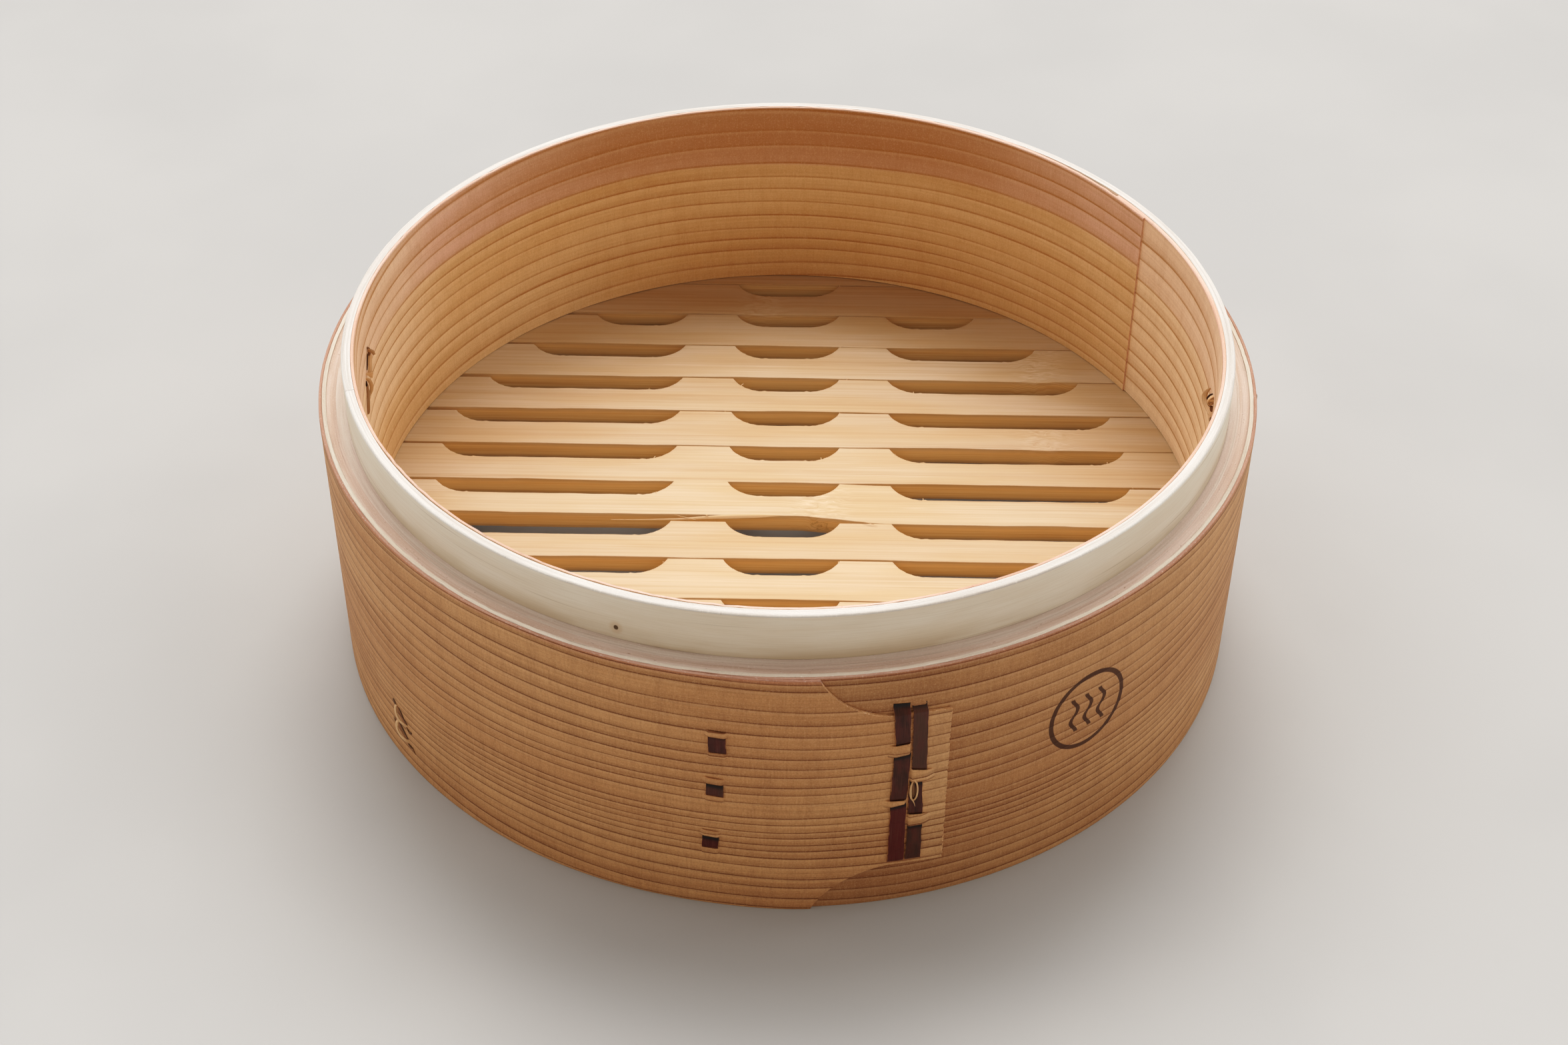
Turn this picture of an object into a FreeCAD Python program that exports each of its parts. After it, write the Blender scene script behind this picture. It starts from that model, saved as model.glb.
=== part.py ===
import FreeCAD, Part

import math
import os

from FreeCAD import Vector

# One tier of a round, laced cedar steamer basket with a bamboo slat floor. Millimetres, +Z up.
# The origin is the centre of the rim that the tier stands on. The slats run along X, and the lacing
# of the outer hoop faces -Y. Angles are in degrees about +Z, from +X.

# Wall, from outside to inside. Every hoop is one bent board, or one wrapped veneer.
OUTER_RADIUS = 120.0
OUTER_HOOP_THICKNESS = 0.75
VENEER_THICKNESS = 1.05
CORE_THICKNESS = 2.5
COLLAR_THICKNESS = 2.35
LINING_THICKNESS = 1.2
GLUE_GAP = 0.05

OUTER_HOOP_HEIGHT = 74.5
VENEER_HEIGHT = 74.7
VENEER_FOOT = 0.4
LEDGE_HEIGHT = 74.2
COLLAR_HEIGHT = 86.86
COLLAR_ROUND = 0.7

VENEER_OUTER = OUTER_RADIUS - OUTER_HOOP_THICKNESS
CORE_OUTER = VENEER_OUTER - VENEER_THICKNESS
CORE_MIDDLE = CORE_OUTER - CORE_THICKNESS
COLLAR_OUTER = 113.15
COLLAR_STEP = 0.55
COLLAR_SEAT = COLLAR_OUTER - COLLAR_STEP
COLLAR_INNER = COLLAR_OUTER - COLLAR_THICKNESS
LINING_OUTER = COLLAR_INNER - GLUE_GAP
LINING_INNER = LINING_OUTER - LINING_THICKNESS

# Socket under the wall, which takes the collar of the tier below.
SOCKET_RADIUS = COLLAR_OUTER + 0.4
SOCKET_DEPTH = 13.5
SOCKET_LEAD_IN = 0.5

# Lapped end of the outer hoop. Positions along the hoop are arc lengths from -Y, towards +X.
LAP_LIFT = 0.6
LAP_ANGLE = 283.0
TONGUE_TOP = ((8.9, 74.5), (14.2, 67.2), (26.0, 61.9))
TONGUE_END = ((26.0, 62.4), (39.7, 61.1), (39.5, 12.4), (26.1, 13.4))
TONGUE_BOTTOM = ((26.1, 13.2), (14.6, 8.7), (7.6, 0.0))

# Lacing of bark strip, as (highest, lowest) of each stretch that shows outside.
BARK_THICKNESS = 0.35
BARK_WIDTH = 3.9
SLIT_CLEARANCE = 0.1
SLIT_REACH = (115.0, 125.0)
LACING = {
    "lace_left_column": (28.1, ((63.5, 51.7), (48.7, 33.8), (32.8, 13.5))),
    "lace_right_column": (32.2, ((62.8, 42.9), (39.5, 28.2), (25.3, 13.3))),
    "lace_anchor_row": (-15.0, ((56.0, 50.7), (40.9, 36.9), (23.4, 19.2))),
}

# Lapped end of the lining, a plain vertical overlap.
LINING_LAP_LIFT = 0.5
LINING_LAP_ANGLE = 28.6

# Floor of notched slats, held together by two rods and clamped between the support ring and the lining.
FLOOR_TOP = 28.9
SLAT_THICKNESS = 5.2
SLAT_PITCH = 16.2
SLAT_GAP = 0.1
FIRST_SLAT_FRONT = -106.3
FULL_SLATS = 13
FLOOR_RADIUS = COLLAR_INNER - 0.15
NOTCH_DEPTH = 6.1
NOTCH_ARC = 10.0
TABS = ((-30.9, -16.3), (14.3, 28.2))
SIDE_NOTCH_ENDS = (-96.4, 93.4)
SIDE_NOTCH_MARGINS = (8.6, 12.4)
SHORTEST_SIDE_NOTCH = 22.0
ROD_RADIUS = 1.25
ROD_HOLE_RADIUS = 1.3
ROD_HALF_LENGTH = 107.0
ROD_HEIGHT = 25.5
ROD_END_GAP = 0.2

SUPPORT_INNER = 105.0
SUPPORT_OUTER = COLLAR_INNER - 0.05
SUPPORT_BOTTOM = 16.0

# Fibre ties through the wall, as (angle, lower hole, upper hole).
TIE_RADIUS = 0.55
TIE_HOLE_RADIUS = 0.65
TIE_HOLE_REACH = (100.0, 125.0)
TIE_THICKNESS = 0.9
TIE_WIDTH = 2.0
LOOP_TIES = {
    "tie_front": (284.75, 35.5, 40.2),
    "tie_left": (181.0, 62.4, 72.6),
    "tie_right": (355.5, 68.0, 72.6),
}
KNOT_TIE_ANGLE = 215.8
KNOT_TIE_HEIGHT = 17.9
KNOT_TIE_TAILS = ((218.0, 7.8), (219.3, 10.9))


def direction(angle):
    """Unit vector that points outward at an angle about Z."""
    return Vector(math.cos(math.radians(angle)), math.sin(math.radians(angle)), 0)


def turned(shape, angle):
    """A shape made at angle 0, turned to its place on the wall."""
    return shape.rotate(Vector(0, 0, 0), Vector(0, 0, 1), angle)


def disc(radius, z_low, z_high, centre=Vector(0, 0, 0)):
    return Part.makeCylinder(radius, z_high - z_low, centre + Vector(0, 0, z_low))


def ring(inner, outer, z_low, z_high):
    return disc(outer, z_low, z_high).cut(disc(inner, z_low - 1, z_high + 1))


def rounded(shape, edge_radius, z, size):
    """Round the circular edge of that radius at that height."""
    edges = [
        e
        for e in shape.Edges
        if isinstance(e.Curve, Part.Circle)
        and abs(e.Curve.Radius - edge_radius) < 0.01
        and abs(e.Curve.Center.z - z) < 0.01
    ]
    return shape.makeFillet(size, edges)


def wall_box(angle, r_low, r_high, width, z_low, z_high):
    """A box across the wall: r along the radius, width along the wall."""
    box = Part.makeBox(r_high - r_low, width, z_high - z_low, Vector(r_low, -width / 2, z_low))
    return turned(box, angle)


def wall_pin(angle, z, radius, r_low, r_high):
    """A round bar along the radius."""
    start = direction(angle) * r_low + Vector(0, 0, z)
    return Part.makeCylinder(radius, r_high - r_low, start, direction(angle))


def arc_angle(arc_length):
    """Angle about Z of a place on the outer hoop."""
    return 270 + math.degrees(arc_length / (OUTER_RADIUS + LAP_LIFT / 2))


def lapped_radius(angle):
    """Radius of the outer hoop's surface where its end laps over."""
    return OUTER_RADIUS + LAP_LIFT * math.cos(math.radians(angle - LAP_ANGLE))


def past_the_tongue():
    """Everything to the right of the lapped end's outline, as a prism along the radius."""

    def at(arc_length, z):
        turn = math.radians(arc_angle(arc_length) - LAP_ANGLE)
        return Vector(0, OUTER_RADIUS * math.sin(turn), z)

    far, above, below = 1.1 * OUTER_RADIUS, OUTER_HOOP_HEIGHT + 5, -5
    top, end, bottom = ([at(*p) for p in part] for part in (TONGUE_TOP, TONGUE_END, TONGUE_BOTTOM))
    corners = [top[0], Vector(0, top[0].y, above), Vector(0, far, above), Vector(0, far, below)]
    corners += [Vector(0, bottom[-1].y, below), bottom[-1]]
    edges = [Part.LineSegment(a, b).toShape() for a, b in zip(corners, corners[1:])]
    edges.append(Part.Arc(*bottom[::-1]).toShape())
    tongue = [bottom[0], *end[::-1], top[-1]]
    edges += [Part.LineSegment(a, b).toShape() for a, b in zip(tongue, tongue[1:])]
    edges.append(Part.Arc(*top[::-1]).toShape())
    face = Part.Face(Part.Wire(edges))
    return turned(face.extrude(Vector(far, 0, 0)), LAP_ANGLE)


def lacing_slits():
    """Slits through the outer hoop, one at each end of each stretch of lacing."""
    slits = []
    for place, stretches in LACING.values():
        for z in (z for stretch in stretches for z in (stretch[0] - BARK_THICKNESS, stretch[1])):
            low, high = z - SLIT_CLEARANCE, z + BARK_THICKNESS + SLIT_CLEARANCE
            width = BARK_WIDTH + SLIT_CLEARANCE
            slits.append(wall_box(arc_angle(place), *SLIT_REACH, width, low, high))
    return slits


def lacing_reliefs():
    """Shallow grooves in the veneer, behind the stretches of lacing that run inside."""
    width = BARK_WIDTH + SLIT_CLEARANCE
    inner = VENEER_OUTER - BARK_THICKNESS - SLIT_CLEARANCE
    return [
        wall_box(
            arc_angle(place),
            inner,
            VENEER_OUTER + 1,
            width,
            stretches[-1][1] - SLIT_CLEARANCE,
            stretches[0][0] + SLIT_CLEARANCE,
        )
        for place, stretches in LACING.values()
    ]


def tie_holes():
    """Holes right through the wall for the ties."""
    places = [(angle, z) for angle, low, high in LOOP_TIES.values() for z in (low, high)]
    places.append((KNOT_TIE_ANGLE, KNOT_TIE_HEIGHT))
    return [wall_pin(angle, z, TIE_HOLE_RADIUS, *TIE_HOLE_REACH) for angle, z in places]


def outer_hoop():
    """Cedar veneer hoop, with its end lapped over the start and shaped as a tongue."""
    hoop = ring(VENEER_OUTER, OUTER_RADIUS, 0, OUTER_HOOP_HEIGHT)
    lap = disc(OUTER_RADIUS, 0, OUTER_HOOP_HEIGHT, direction(LAP_ANGLE) * LAP_LIFT)
    lap = lap.cut(disc(OUTER_RADIUS, -1, OUTER_HOOP_HEIGHT + 1)).cut(past_the_tongue())
    return hoop.fuse(lap).removeSplitter().cut(lacing_slits() + tie_holes())


def veneer_hoop():
    """White veneer hoop behind the cedar, standing a little above it."""
    hoop = ring(CORE_OUTER, VENEER_OUTER, VENEER_FOOT, VENEER_HEIGHT)
    return hoop.cut(lacing_reliefs() + tie_holes())


def core_hoop_outer():
    """Outer one of the two boards that make the ledge and the foot rim."""
    return ring(CORE_MIDDLE, CORE_OUTER, 0, LEDGE_HEIGHT).cut(tie_holes())


def core_hoop_inner():
    """Inner board of the ledge, shaved thinner at its foot to make the socket."""
    hoop = ring(COLLAR_SEAT, CORE_MIDDLE, 0, LEDGE_HEIGHT)
    socket = disc(SOCKET_RADIUS, -1, SOCKET_DEPTH)
    lead_in = Part.makeCone(SOCKET_RADIUS + SOCKET_LEAD_IN, SOCKET_RADIUS, SOCKET_LEAD_IN)
    return hoop.cut([socket, lead_in] + tie_holes())


def collar_hoop():
    """White board that stands above the ledge and enters the tier on top."""
    seat = disc(COLLAR_SEAT, SOCKET_DEPTH, LEDGE_HEIGHT)
    collar = disc(COLLAR_OUTER, LEDGE_HEIGHT, COLLAR_HEIGHT)
    hoop = seat.fuse(collar).cut(disc(COLLAR_INNER, 0, COLLAR_HEIGHT + 1))
    hoop = rounded(hoop, COLLAR_OUTER, COLLAR_HEIGHT, COLLAR_ROUND)
    return hoop.cut(tie_holes())


def lining_hoop():
    """Cedar board inside the collar, which holds the floor down. Its end laps over its start."""
    hoop = ring(LINING_INNER, LINING_OUTER, FLOOR_TOP, COLLAR_HEIGHT)
    lapped = direction(LINING_LAP_ANGLE) * -LINING_LAP_LIFT
    lap = disc(LINING_INNER, FLOOR_TOP, COLLAR_HEIGHT)
    lap = lap.cut(disc(LINING_INNER, 0, COLLAR_HEIGHT + 1, lapped))
    quarter = Part.makeCylinder(
        OUTER_RADIUS, COLLAR_HEIGHT, Vector(0, 0, 0), Vector(0, 0, 1), 90
    )
    lap = lap.common(turned(quarter, LINING_LAP_ANGLE))
    return hoop.fuse(lap).removeSplitter().cut(tie_holes())


def support_ring():
    """Board ring that carries the ends of the slats."""
    hoop = ring(SUPPORT_INNER, SUPPORT_OUTER, SUPPORT_BOTTOM, FLOOR_TOP - SLAT_THICKNESS)
    return hoop.cut(tie_holes())


def rod(x, radius, half_length):
    return Part.makeCylinder(radius, 2 * half_length, Vector(x, -half_length, ROD_HEIGHT), Vector(0, 1, 0))


def rod_places():
    """The rods pass through the middles of the tabs, where they stay hidden."""
    return [(left + right) / 2 for left, right in TABS]


def rod_holes():
    return [rod(x, ROD_HOLE_RADIUS, ROD_HALF_LENGTH + ROD_END_GAP) for x in rod_places()]


def notch(left, right, back):
    """A notch in the back edge of a slat, with an arc at each end, right through the slat."""
    low, high = FLOOR_TOP - SLAT_THICKNESS - 1, FLOOR_TOP + 1
    bottom = back - NOTCH_DEPTH
    turn = math.acos(1 - NOTCH_DEPTH / NOTCH_ARC)
    reach, half = NOTCH_ARC * math.sin(turn), turn / 2

    def flank(corner, side):
        middle = corner + side * (reach - NOTCH_ARC * math.sin(half))
        rise = NOTCH_ARC * (1 - math.cos(half))
        return Part.Arc(
            Vector(corner, back, low),
            Vector(middle, bottom + rise, low),
            Vector(corner + side * reach, bottom, low),
        ).toShape()

    past = back + 1
    outline = [
        flank(left, 1),
        Part.LineSegment(Vector(left + reach, bottom, low), Vector(right - reach, bottom, low)).toShape(),
        flank(right, -1),
        Part.LineSegment(Vector(right, back, low), Vector(right, past, low)).toShape(),
        Part.LineSegment(Vector(right, past, low), Vector(left, past, low)).toShape(),
        Part.LineSegment(Vector(left, past, low), Vector(left, back, low)).toShape(),
    ]
    return Part.Face(Part.Wire(Part.__sortEdges__(outline))).extrude(Vector(0, 0, high - low))


def notches(back):
    """The notches of a slat: one between the tabs, and one outside each tab where there is room."""
    found = [notch(TABS[0][1], TABS[1][0], back)]
    half_chord = math.sqrt(max(FLOOR_RADIUS**2 - back**2, 0))
    left = max(SIDE_NOTCH_ENDS[0], SIDE_NOTCH_MARGINS[0] - half_chord)
    right = min(SIDE_NOTCH_ENDS[1], half_chord - SIDE_NOTCH_MARGINS[1])
    if left < TABS[0][0] - SHORTEST_SIDE_NOTCH:
        found.append(notch(left, TABS[0][0], back))
    if right > TABS[1][1] + SHORTEST_SIDE_NOTCH:
        found.append(notch(TABS[1][1], right, back))
    return found


def slat(front, back):
    """A slat cut to the round of the floor."""
    low = FLOOR_TOP - SLAT_THICKNESS
    reach = 2 * FLOOR_RADIUS
    board = Part.makeBox(reach, back - front, SLAT_THICKNESS, Vector(-reach / 2, front, low))
    return board.common(disc(FLOOR_RADIUS, low - 1, FLOOR_TOP + 1)).cut(rod_holes())


def slats():
    """Thirteen notched slats between two plain end pieces, from front to back."""
    past = FLOOR_RADIUS + 1
    lines = [FIRST_SLAT_FRONT + i * SLAT_PITCH for i in range(FULL_SLATS + 1)]
    made = [slat(-past, lines[0] - SLAT_GAP)]
    made += [slat(a, b - SLAT_GAP).cut(notches(b - SLAT_GAP)) for a, b in zip(lines, lines[1:])]
    made.append(slat(lines[-1], past))
    return made


def lace(place, stretches):
    """A bark strip that runs in and out of its slits."""
    angle = arc_angle(place)
    inner = VENEER_OUTER - BARK_THICKNESS
    surface = lapped_radius(angle)
    outer = surface + BARK_THICKNESS
    pieces = []
    for high, low in stretches:
        pieces.append(wall_box(angle, surface, outer, BARK_WIDTH, low, high))
        pieces.append(wall_box(angle, inner, outer, BARK_WIDTH, high - BARK_THICKNESS, high))
        pieces.append(wall_box(angle, inner, outer, BARK_WIDTH, low, low + BARK_THICKNESS))
    for (_, low), (high, _) in zip(stretches, stretches[1:]):
        bottom, top = high - BARK_THICKNESS, low + BARK_THICKNESS
        pieces.append(wall_box(angle, inner, VENEER_OUTER, BARK_WIDTH, bottom, top))
    return pieces[0].fuse(pieces[1:]).removeSplitter().cut(tie_holes())


def slotted_plate(angle, r_low, z_low, z_high):
    """The flattened loop of a tie, as it lies against the wall."""
    rise = TIE_WIDTH / 2
    r_high = r_low + TIE_THICKNESS
    plate = wall_box(angle, r_low, r_high, TIE_WIDTH, z_low, z_high)
    ends = [wall_pin(angle, z, rise, r_low, r_high) for z in (z_low, z_high)]
    gap = wall_box(angle, r_low - 1, r_high + 1, TIE_WIDTH / 4, z_low + rise, z_high - rise)
    return plate.fuse(ends).removeSplitter().cut(gap)


def loop_tie(angle, z_low, z_high):
    """A tie that goes through the wall twice, with a loop on each face."""
    on_lace = BARK_THICKNESS if 270 < angle < 300 else 0
    lift = lapped_radius(angle) if on_lace else OUTER_RADIUS
    outside = lift + on_lace + GLUE_GAP
    inside = LINING_INNER - LINING_LAP_LIFT - TIE_THICKNESS - GLUE_GAP
    legs = [wall_pin(angle, z, TIE_RADIUS, inside, outside + TIE_THICKNESS) for z in (z_low, z_high)]
    plates = [slotted_plate(angle, r, z_low, z_high) for r in (inside, outside)]
    return legs[0].fuse(legs[1:] + plates).removeSplitter()


def knot_tie():
    """A tie through the wall and the support ring, knotted inside, with two tails outside."""
    outside = OUTER_RADIUS + TIE_RADIUS + GLUE_GAP
    inside = SUPPORT_INNER - 2 * TIE_RADIUS
    start = direction(KNOT_TIE_ANGLE) * outside + Vector(0, 0, KNOT_TIE_HEIGHT)
    pieces = [wall_pin(KNOT_TIE_ANGLE, KNOT_TIE_HEIGHT, 2 * TIE_RADIUS, inside, SUPPORT_INNER)]
    pieces.append(Part.makeSphere(TIE_RADIUS, start))
    for angle, z in KNOT_TIE_TAILS:
        tail = direction(angle) * outside + Vector(0, 0, z) - start
        pieces.append(Part.makeCylinder(TIE_RADIUS, tail.Length, start, tail))
    leg = wall_pin(KNOT_TIE_ANGLE, KNOT_TIE_HEIGHT, TIE_RADIUS, inside, outside)
    return leg.fuse(pieces).removeSplitter()


def build():
    nodes = {
        "outer_hoop": outer_hoop(),
        "veneer_hoop": veneer_hoop(),
        "core_hoop_outer": core_hoop_outer(),
        "core_hoop_inner": core_hoop_inner(),
        "collar_hoop": collar_hoop(),
        "lining_hoop": lining_hoop(),
        "support_ring": support_ring(),
        "tie_left_front": knot_tie(),
    }
    nodes.update({f"slat_{i:02d}": shape for i, shape in enumerate(slats(), 1)})
    for name, x in zip(("rod_left", "rod_right"), rod_places()):
        nodes[name] = rod(x, ROD_RADIUS, ROD_HALF_LENGTH)
    nodes.update({name: lace(*places) for name, places in LACING.items()})
    nodes.update({name: loop_tie(*places) for name, places in LOOP_TIES.items()})
    return nodes


os.makedirs("parts", exist_ok=True)
for node, shape in build().items():
    if not shape.isValid() or len(shape.Solids) != 1:
        raise ValueError(f"{node} is not one valid solid")
    shape.exportStep(f"parts/{node}.step")
    print(node, len(shape.Solids), round(shape.Volume))
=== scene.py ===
import math

import bmesh
import bpy
import numpy as np
from mathutils import Matrix, Vector


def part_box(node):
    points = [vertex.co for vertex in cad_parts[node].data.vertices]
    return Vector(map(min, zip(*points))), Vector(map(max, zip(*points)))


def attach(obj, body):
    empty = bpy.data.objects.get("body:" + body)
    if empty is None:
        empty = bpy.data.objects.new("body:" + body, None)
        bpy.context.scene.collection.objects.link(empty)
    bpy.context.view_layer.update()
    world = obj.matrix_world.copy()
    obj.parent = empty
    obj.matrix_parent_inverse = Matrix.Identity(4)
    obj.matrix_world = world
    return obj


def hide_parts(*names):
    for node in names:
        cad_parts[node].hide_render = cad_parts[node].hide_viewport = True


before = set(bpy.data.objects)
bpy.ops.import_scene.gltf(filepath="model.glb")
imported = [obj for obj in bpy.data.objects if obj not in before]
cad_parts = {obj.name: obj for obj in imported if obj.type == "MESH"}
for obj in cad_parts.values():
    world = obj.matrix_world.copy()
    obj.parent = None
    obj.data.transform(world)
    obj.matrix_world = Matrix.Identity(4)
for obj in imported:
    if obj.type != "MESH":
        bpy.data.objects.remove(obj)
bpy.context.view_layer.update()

# Lengths are in millimetres, and MM turns them into metres. Angles are in degrees about +Z, from +X.
MM = 0.001
TURN = 2 * math.pi


def span(node):
    """Lowest and highest x, y and z of a CAD node."""
    lo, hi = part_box(node)
    return [(lo[i] / MM, hi[i] / MM) for i in range(3)]


def hoop_size(node):
    """Outer radius, foot and top of a round CAD node."""
    (_, radius), _, (foot, top) = span(node)
    return radius, foot, top


# Sizes of the hoops, from the CAD nodes.
HOOP_RADIUS, _, HOOP_TOP = hoop_size("outer_hoop")
VENEER_RADIUS, VENEER_FOOT, VENEER_TOP = hoop_size("veneer_hoop")
CORE_RADIUS, _, LEDGE = hoop_size("core_hoop_outer")
CORE_MIDDLE, _, _ = hoop_size("core_hoop_inner")
COLLAR_RADIUS, COLLAR_FOOT, COLLAR_TOP = hoop_size("collar_hoop")
LINING_RADIUS, FLOOR_TOP, _ = hoop_size("lining_hoop")
FLOOR_RADIUS, FLOOR_FOOT, _ = hoop_size("slat_08")
SUPPORT_RADIUS, SUPPORT_FOOT, _ = hoop_size("support_ring")
COLLAR_THICKNESS, COLLAR_STEP, SOCKET_CLEARANCE = 2.35, 0.55, 0.4
LINING_THICKNESS, SUPPORT_INNER = 1.2, 105.0
# A radius just inside the lining's inner face, that its ties are placed from.
LINING_FACE = 109.0

# The outer hoop is one strip that laps over its own start. Arc lengths run from -Y towards +X.
STRIP = HOOP_RADIUS - VENEER_RADIUS
LAP_START, LAP_FULL = -22.0, 8.0
FEATHER_EDGE = 0.06
ARC_RADIUS = HOOP_RADIUS + 0.3
LAP_TURN = TURN * ARC_RADIUS
# The tongue's curved shoulders, as (arc length, height) of three points each. TONGUE_END is the arc length
# of its sawn end, and the heights of its upper and lower corner there.
TONGUE_TOP = ((8.9, 74.5), (14.2, 67.2), (26.0, 61.9))
TONGUE_BOTTOM = ((26.1, 13.2), (14.6, 8.7), (7.6, 0.0))
TONGUE_END = (39.1, 61.1, 12.4)
TONGUE_SHOULDER, TONGUE_STEP, TONGUE_RUN = 26.0, 0.6, 13.7

rng = np.random.default_rng(24)


# ---------------------------------------------------------------- meshes


def new_piece(name, points, faces, slot, materials, replaces, **options):
    """A mesh piece of the object, in millimetres, that rides on the root body. materials are keys of WOOD."""
    mesh = bpy.data.meshes.new(name)
    mesh.from_pydata((np.asarray(points, float) * MM).tolist(), [], faces)
    for key, values in options.get("attributes", {}).items():
        layer = mesh.attributes.new(key, "FLOAT_VECTOR", "POINT")
        layer.data.foreach_set("vector", np.asarray(values, np.float32).ravel())
    for material in materials:
        mesh.materials.append(WOOD[material])
    if "face_materials" in options:
        mesh.polygons.foreach_set("material_index", np.asarray(options["face_materials"], np.int32))
    mesh.polygons.foreach_set("use_smooth", [True] * len(mesh.polygons))
    if options.get("outward"):
        made = bmesh.new()
        made.from_mesh(mesh)
        bmesh.ops.recalc_face_normals(made, faces=made.faces)
        made.to_mesh(mesh)
        made.free()
    mesh.set_sharp_from_angle(angle=math.radians(options.get("sharp", 38)))
    mesh.validate()
    piece = bpy.data.objects.new(name, mesh)
    bpy.context.collection.objects.link(piece)
    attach(piece, "root")
    if replaces:
        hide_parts(*replaces)
    return piece


def loft_sides(index):
    """Quads between closed rings of point numbers."""
    nxt = np.roll(index, -1, axis=1)
    return np.stack([index[:-1], index[1:], nxt[1:], nxt[:-1]], axis=-1).reshape(-1, 4).tolist()


def loft_faces(stations, ring, first=0):
    """Quads between closed rings of points, and a cap at each end."""
    index = first + np.arange(stations * ring).reshape(stations, ring)
    return loft_sides(index) + [index[0][::-1].tolist(), index[-1].tolist()]


def triples(a, b, c):
    """Arrays or numbers put side by side, as vectors."""
    return np.stack(np.broadcast_arrays(a, b, c), axis=-1)


def joined_lofts(name, slot, material, replaces, lofts, **options):
    """One piece of several closed lofts. Each is its points, by station and ring, and its attributes."""
    faces, first = [], 0
    for points, _ in lofts:
        faces += loft_faces(*points.shape[:2], first)
        first += points.shape[0] * points.shape[1]
    points = np.concatenate([points.reshape(-1, 3) for points, _ in lofts])
    attributes = {
        key: np.concatenate([values[key].reshape(-1, 3) for _, values in lofts]) for key in lofts[0][1]
    }
    return new_piece(
        name, points, faces, slot, [material], replaces, attributes=attributes, outward=True, **options
    )


def even(low, high, step):
    return np.linspace(low, high, max(int(round((high - low) / step)), 1) + 1)


def polar(radius, angle, z):
    return np.stack([radius * np.cos(angle), radius * np.sin(angle), z], axis=-1)


def smoothstep(low, high, x):
    t = np.clip((np.asarray(x, float) - low) / (high - low), 0, 1)
    return t * t * (3 - 2 * t)


def bump(x, middle, width):
    return np.exp(-(((np.asarray(x, float) - middle) / width) ** 2))


class Waves:
    """A smooth random function: a sum of sine waves with seeded phases."""

    def __init__(self, lengths, heights, tilt=0.02):
        self.terms = [(w, h, *rng.uniform(0, TURN, 2)) for w, h in zip(lengths, heights)]
        self.tilt = tilt

    def __call__(self, along, across=0.0):
        return sum(
            h * np.sin(TURN * along / w + p + self.tilt * across * TURN * math.cos(q))
            for w, h, p, q in self.terms
        )


class Rings:
    """Annual rings of a board: wavy lines along it, counted downwards from its top edge."""

    # Rings of mean width that carry on above and below the listed ones.
    PAD = 8

    def __init__(self, top, widths, lengths=(580, 230, 97, 43), heights=(1.1, 0.5, 0.2, 0.08), spread=0.0):
        mean = float(np.mean(widths))
        padded = [mean] * self.PAD + list(widths) + [mean] * self.PAD
        self.lines = np.cumsum(padded) - mean * self.PAD
        self.widths = np.array(padded)
        self.top = top
        self.waves = Waves(lengths, heights)
        self.spread = spread

    def __call__(self, along, z):
        """Ring count and ring width at places on the board. Whole counts are the dark lines."""
        depth = (self.top - z) * (1 - self.spread * along / LAP_TURN) + self.waves(along, z)
        counts = np.arange(len(self.lines)) - self.PAD + 1
        blur = (-0.4, -0.2, 0.0, 0.2, 0.4)
        phase = sum(np.interp(depth + d, self.lines, counts) for d in blur) / len(blur)
        width = np.interp(depth, self.lines - self.widths / 2, self.widths)
        return phase, width


def ring_relief(phase, width, height):
    """The hard dark line of each ring stands a little proud: a slow rise to it, and a quick fall after it."""
    within = phase - np.floor(phase)
    rise, fall = smoothstep(1.4, 0.1, (1 - within) * width), smoothstep(0.6, 0.0, within * width)
    return height * np.maximum(rise, fall)


# ---------------------------------------------------------------- bent boards


# Parts of a board's cross-section, in order round it.
OUTER, TOP_OUTER, TOP, TOP_INNER, INNER, FOOT_INNER, FOOT, FOOT_OUTER = range(8)


def zipped_cap(kinds, z, first):
    """Triangles over the end of a board, between its outer and its inner row of points."""
    ring = len(kinds)
    bottom, top = (int(np.median(np.flatnonzero(kinds == part))) for part in (FOOT, TOP))
    outer = [i % ring for i in range(bottom, ring + top + 1)]
    inner = list(range(bottom, top - 1, -1))
    a, b, faces = 0, 0, []
    while a < len(outer) - 1 or b < len(inner) - 1:
        if b == len(inner) - 1 or (a < len(outer) - 1 and z[outer[a + 1]] <= z[inner[b + 1]]):
            corners = (outer[a], outer[a + 1], inner[b])
            a += 1
        else:
            corners = (outer[a], inner[b + 1], inner[b])
            b += 1
        if len(set(corners)) == 3:
            faces.append([first + corner for corner in corners])
    return faces


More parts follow.
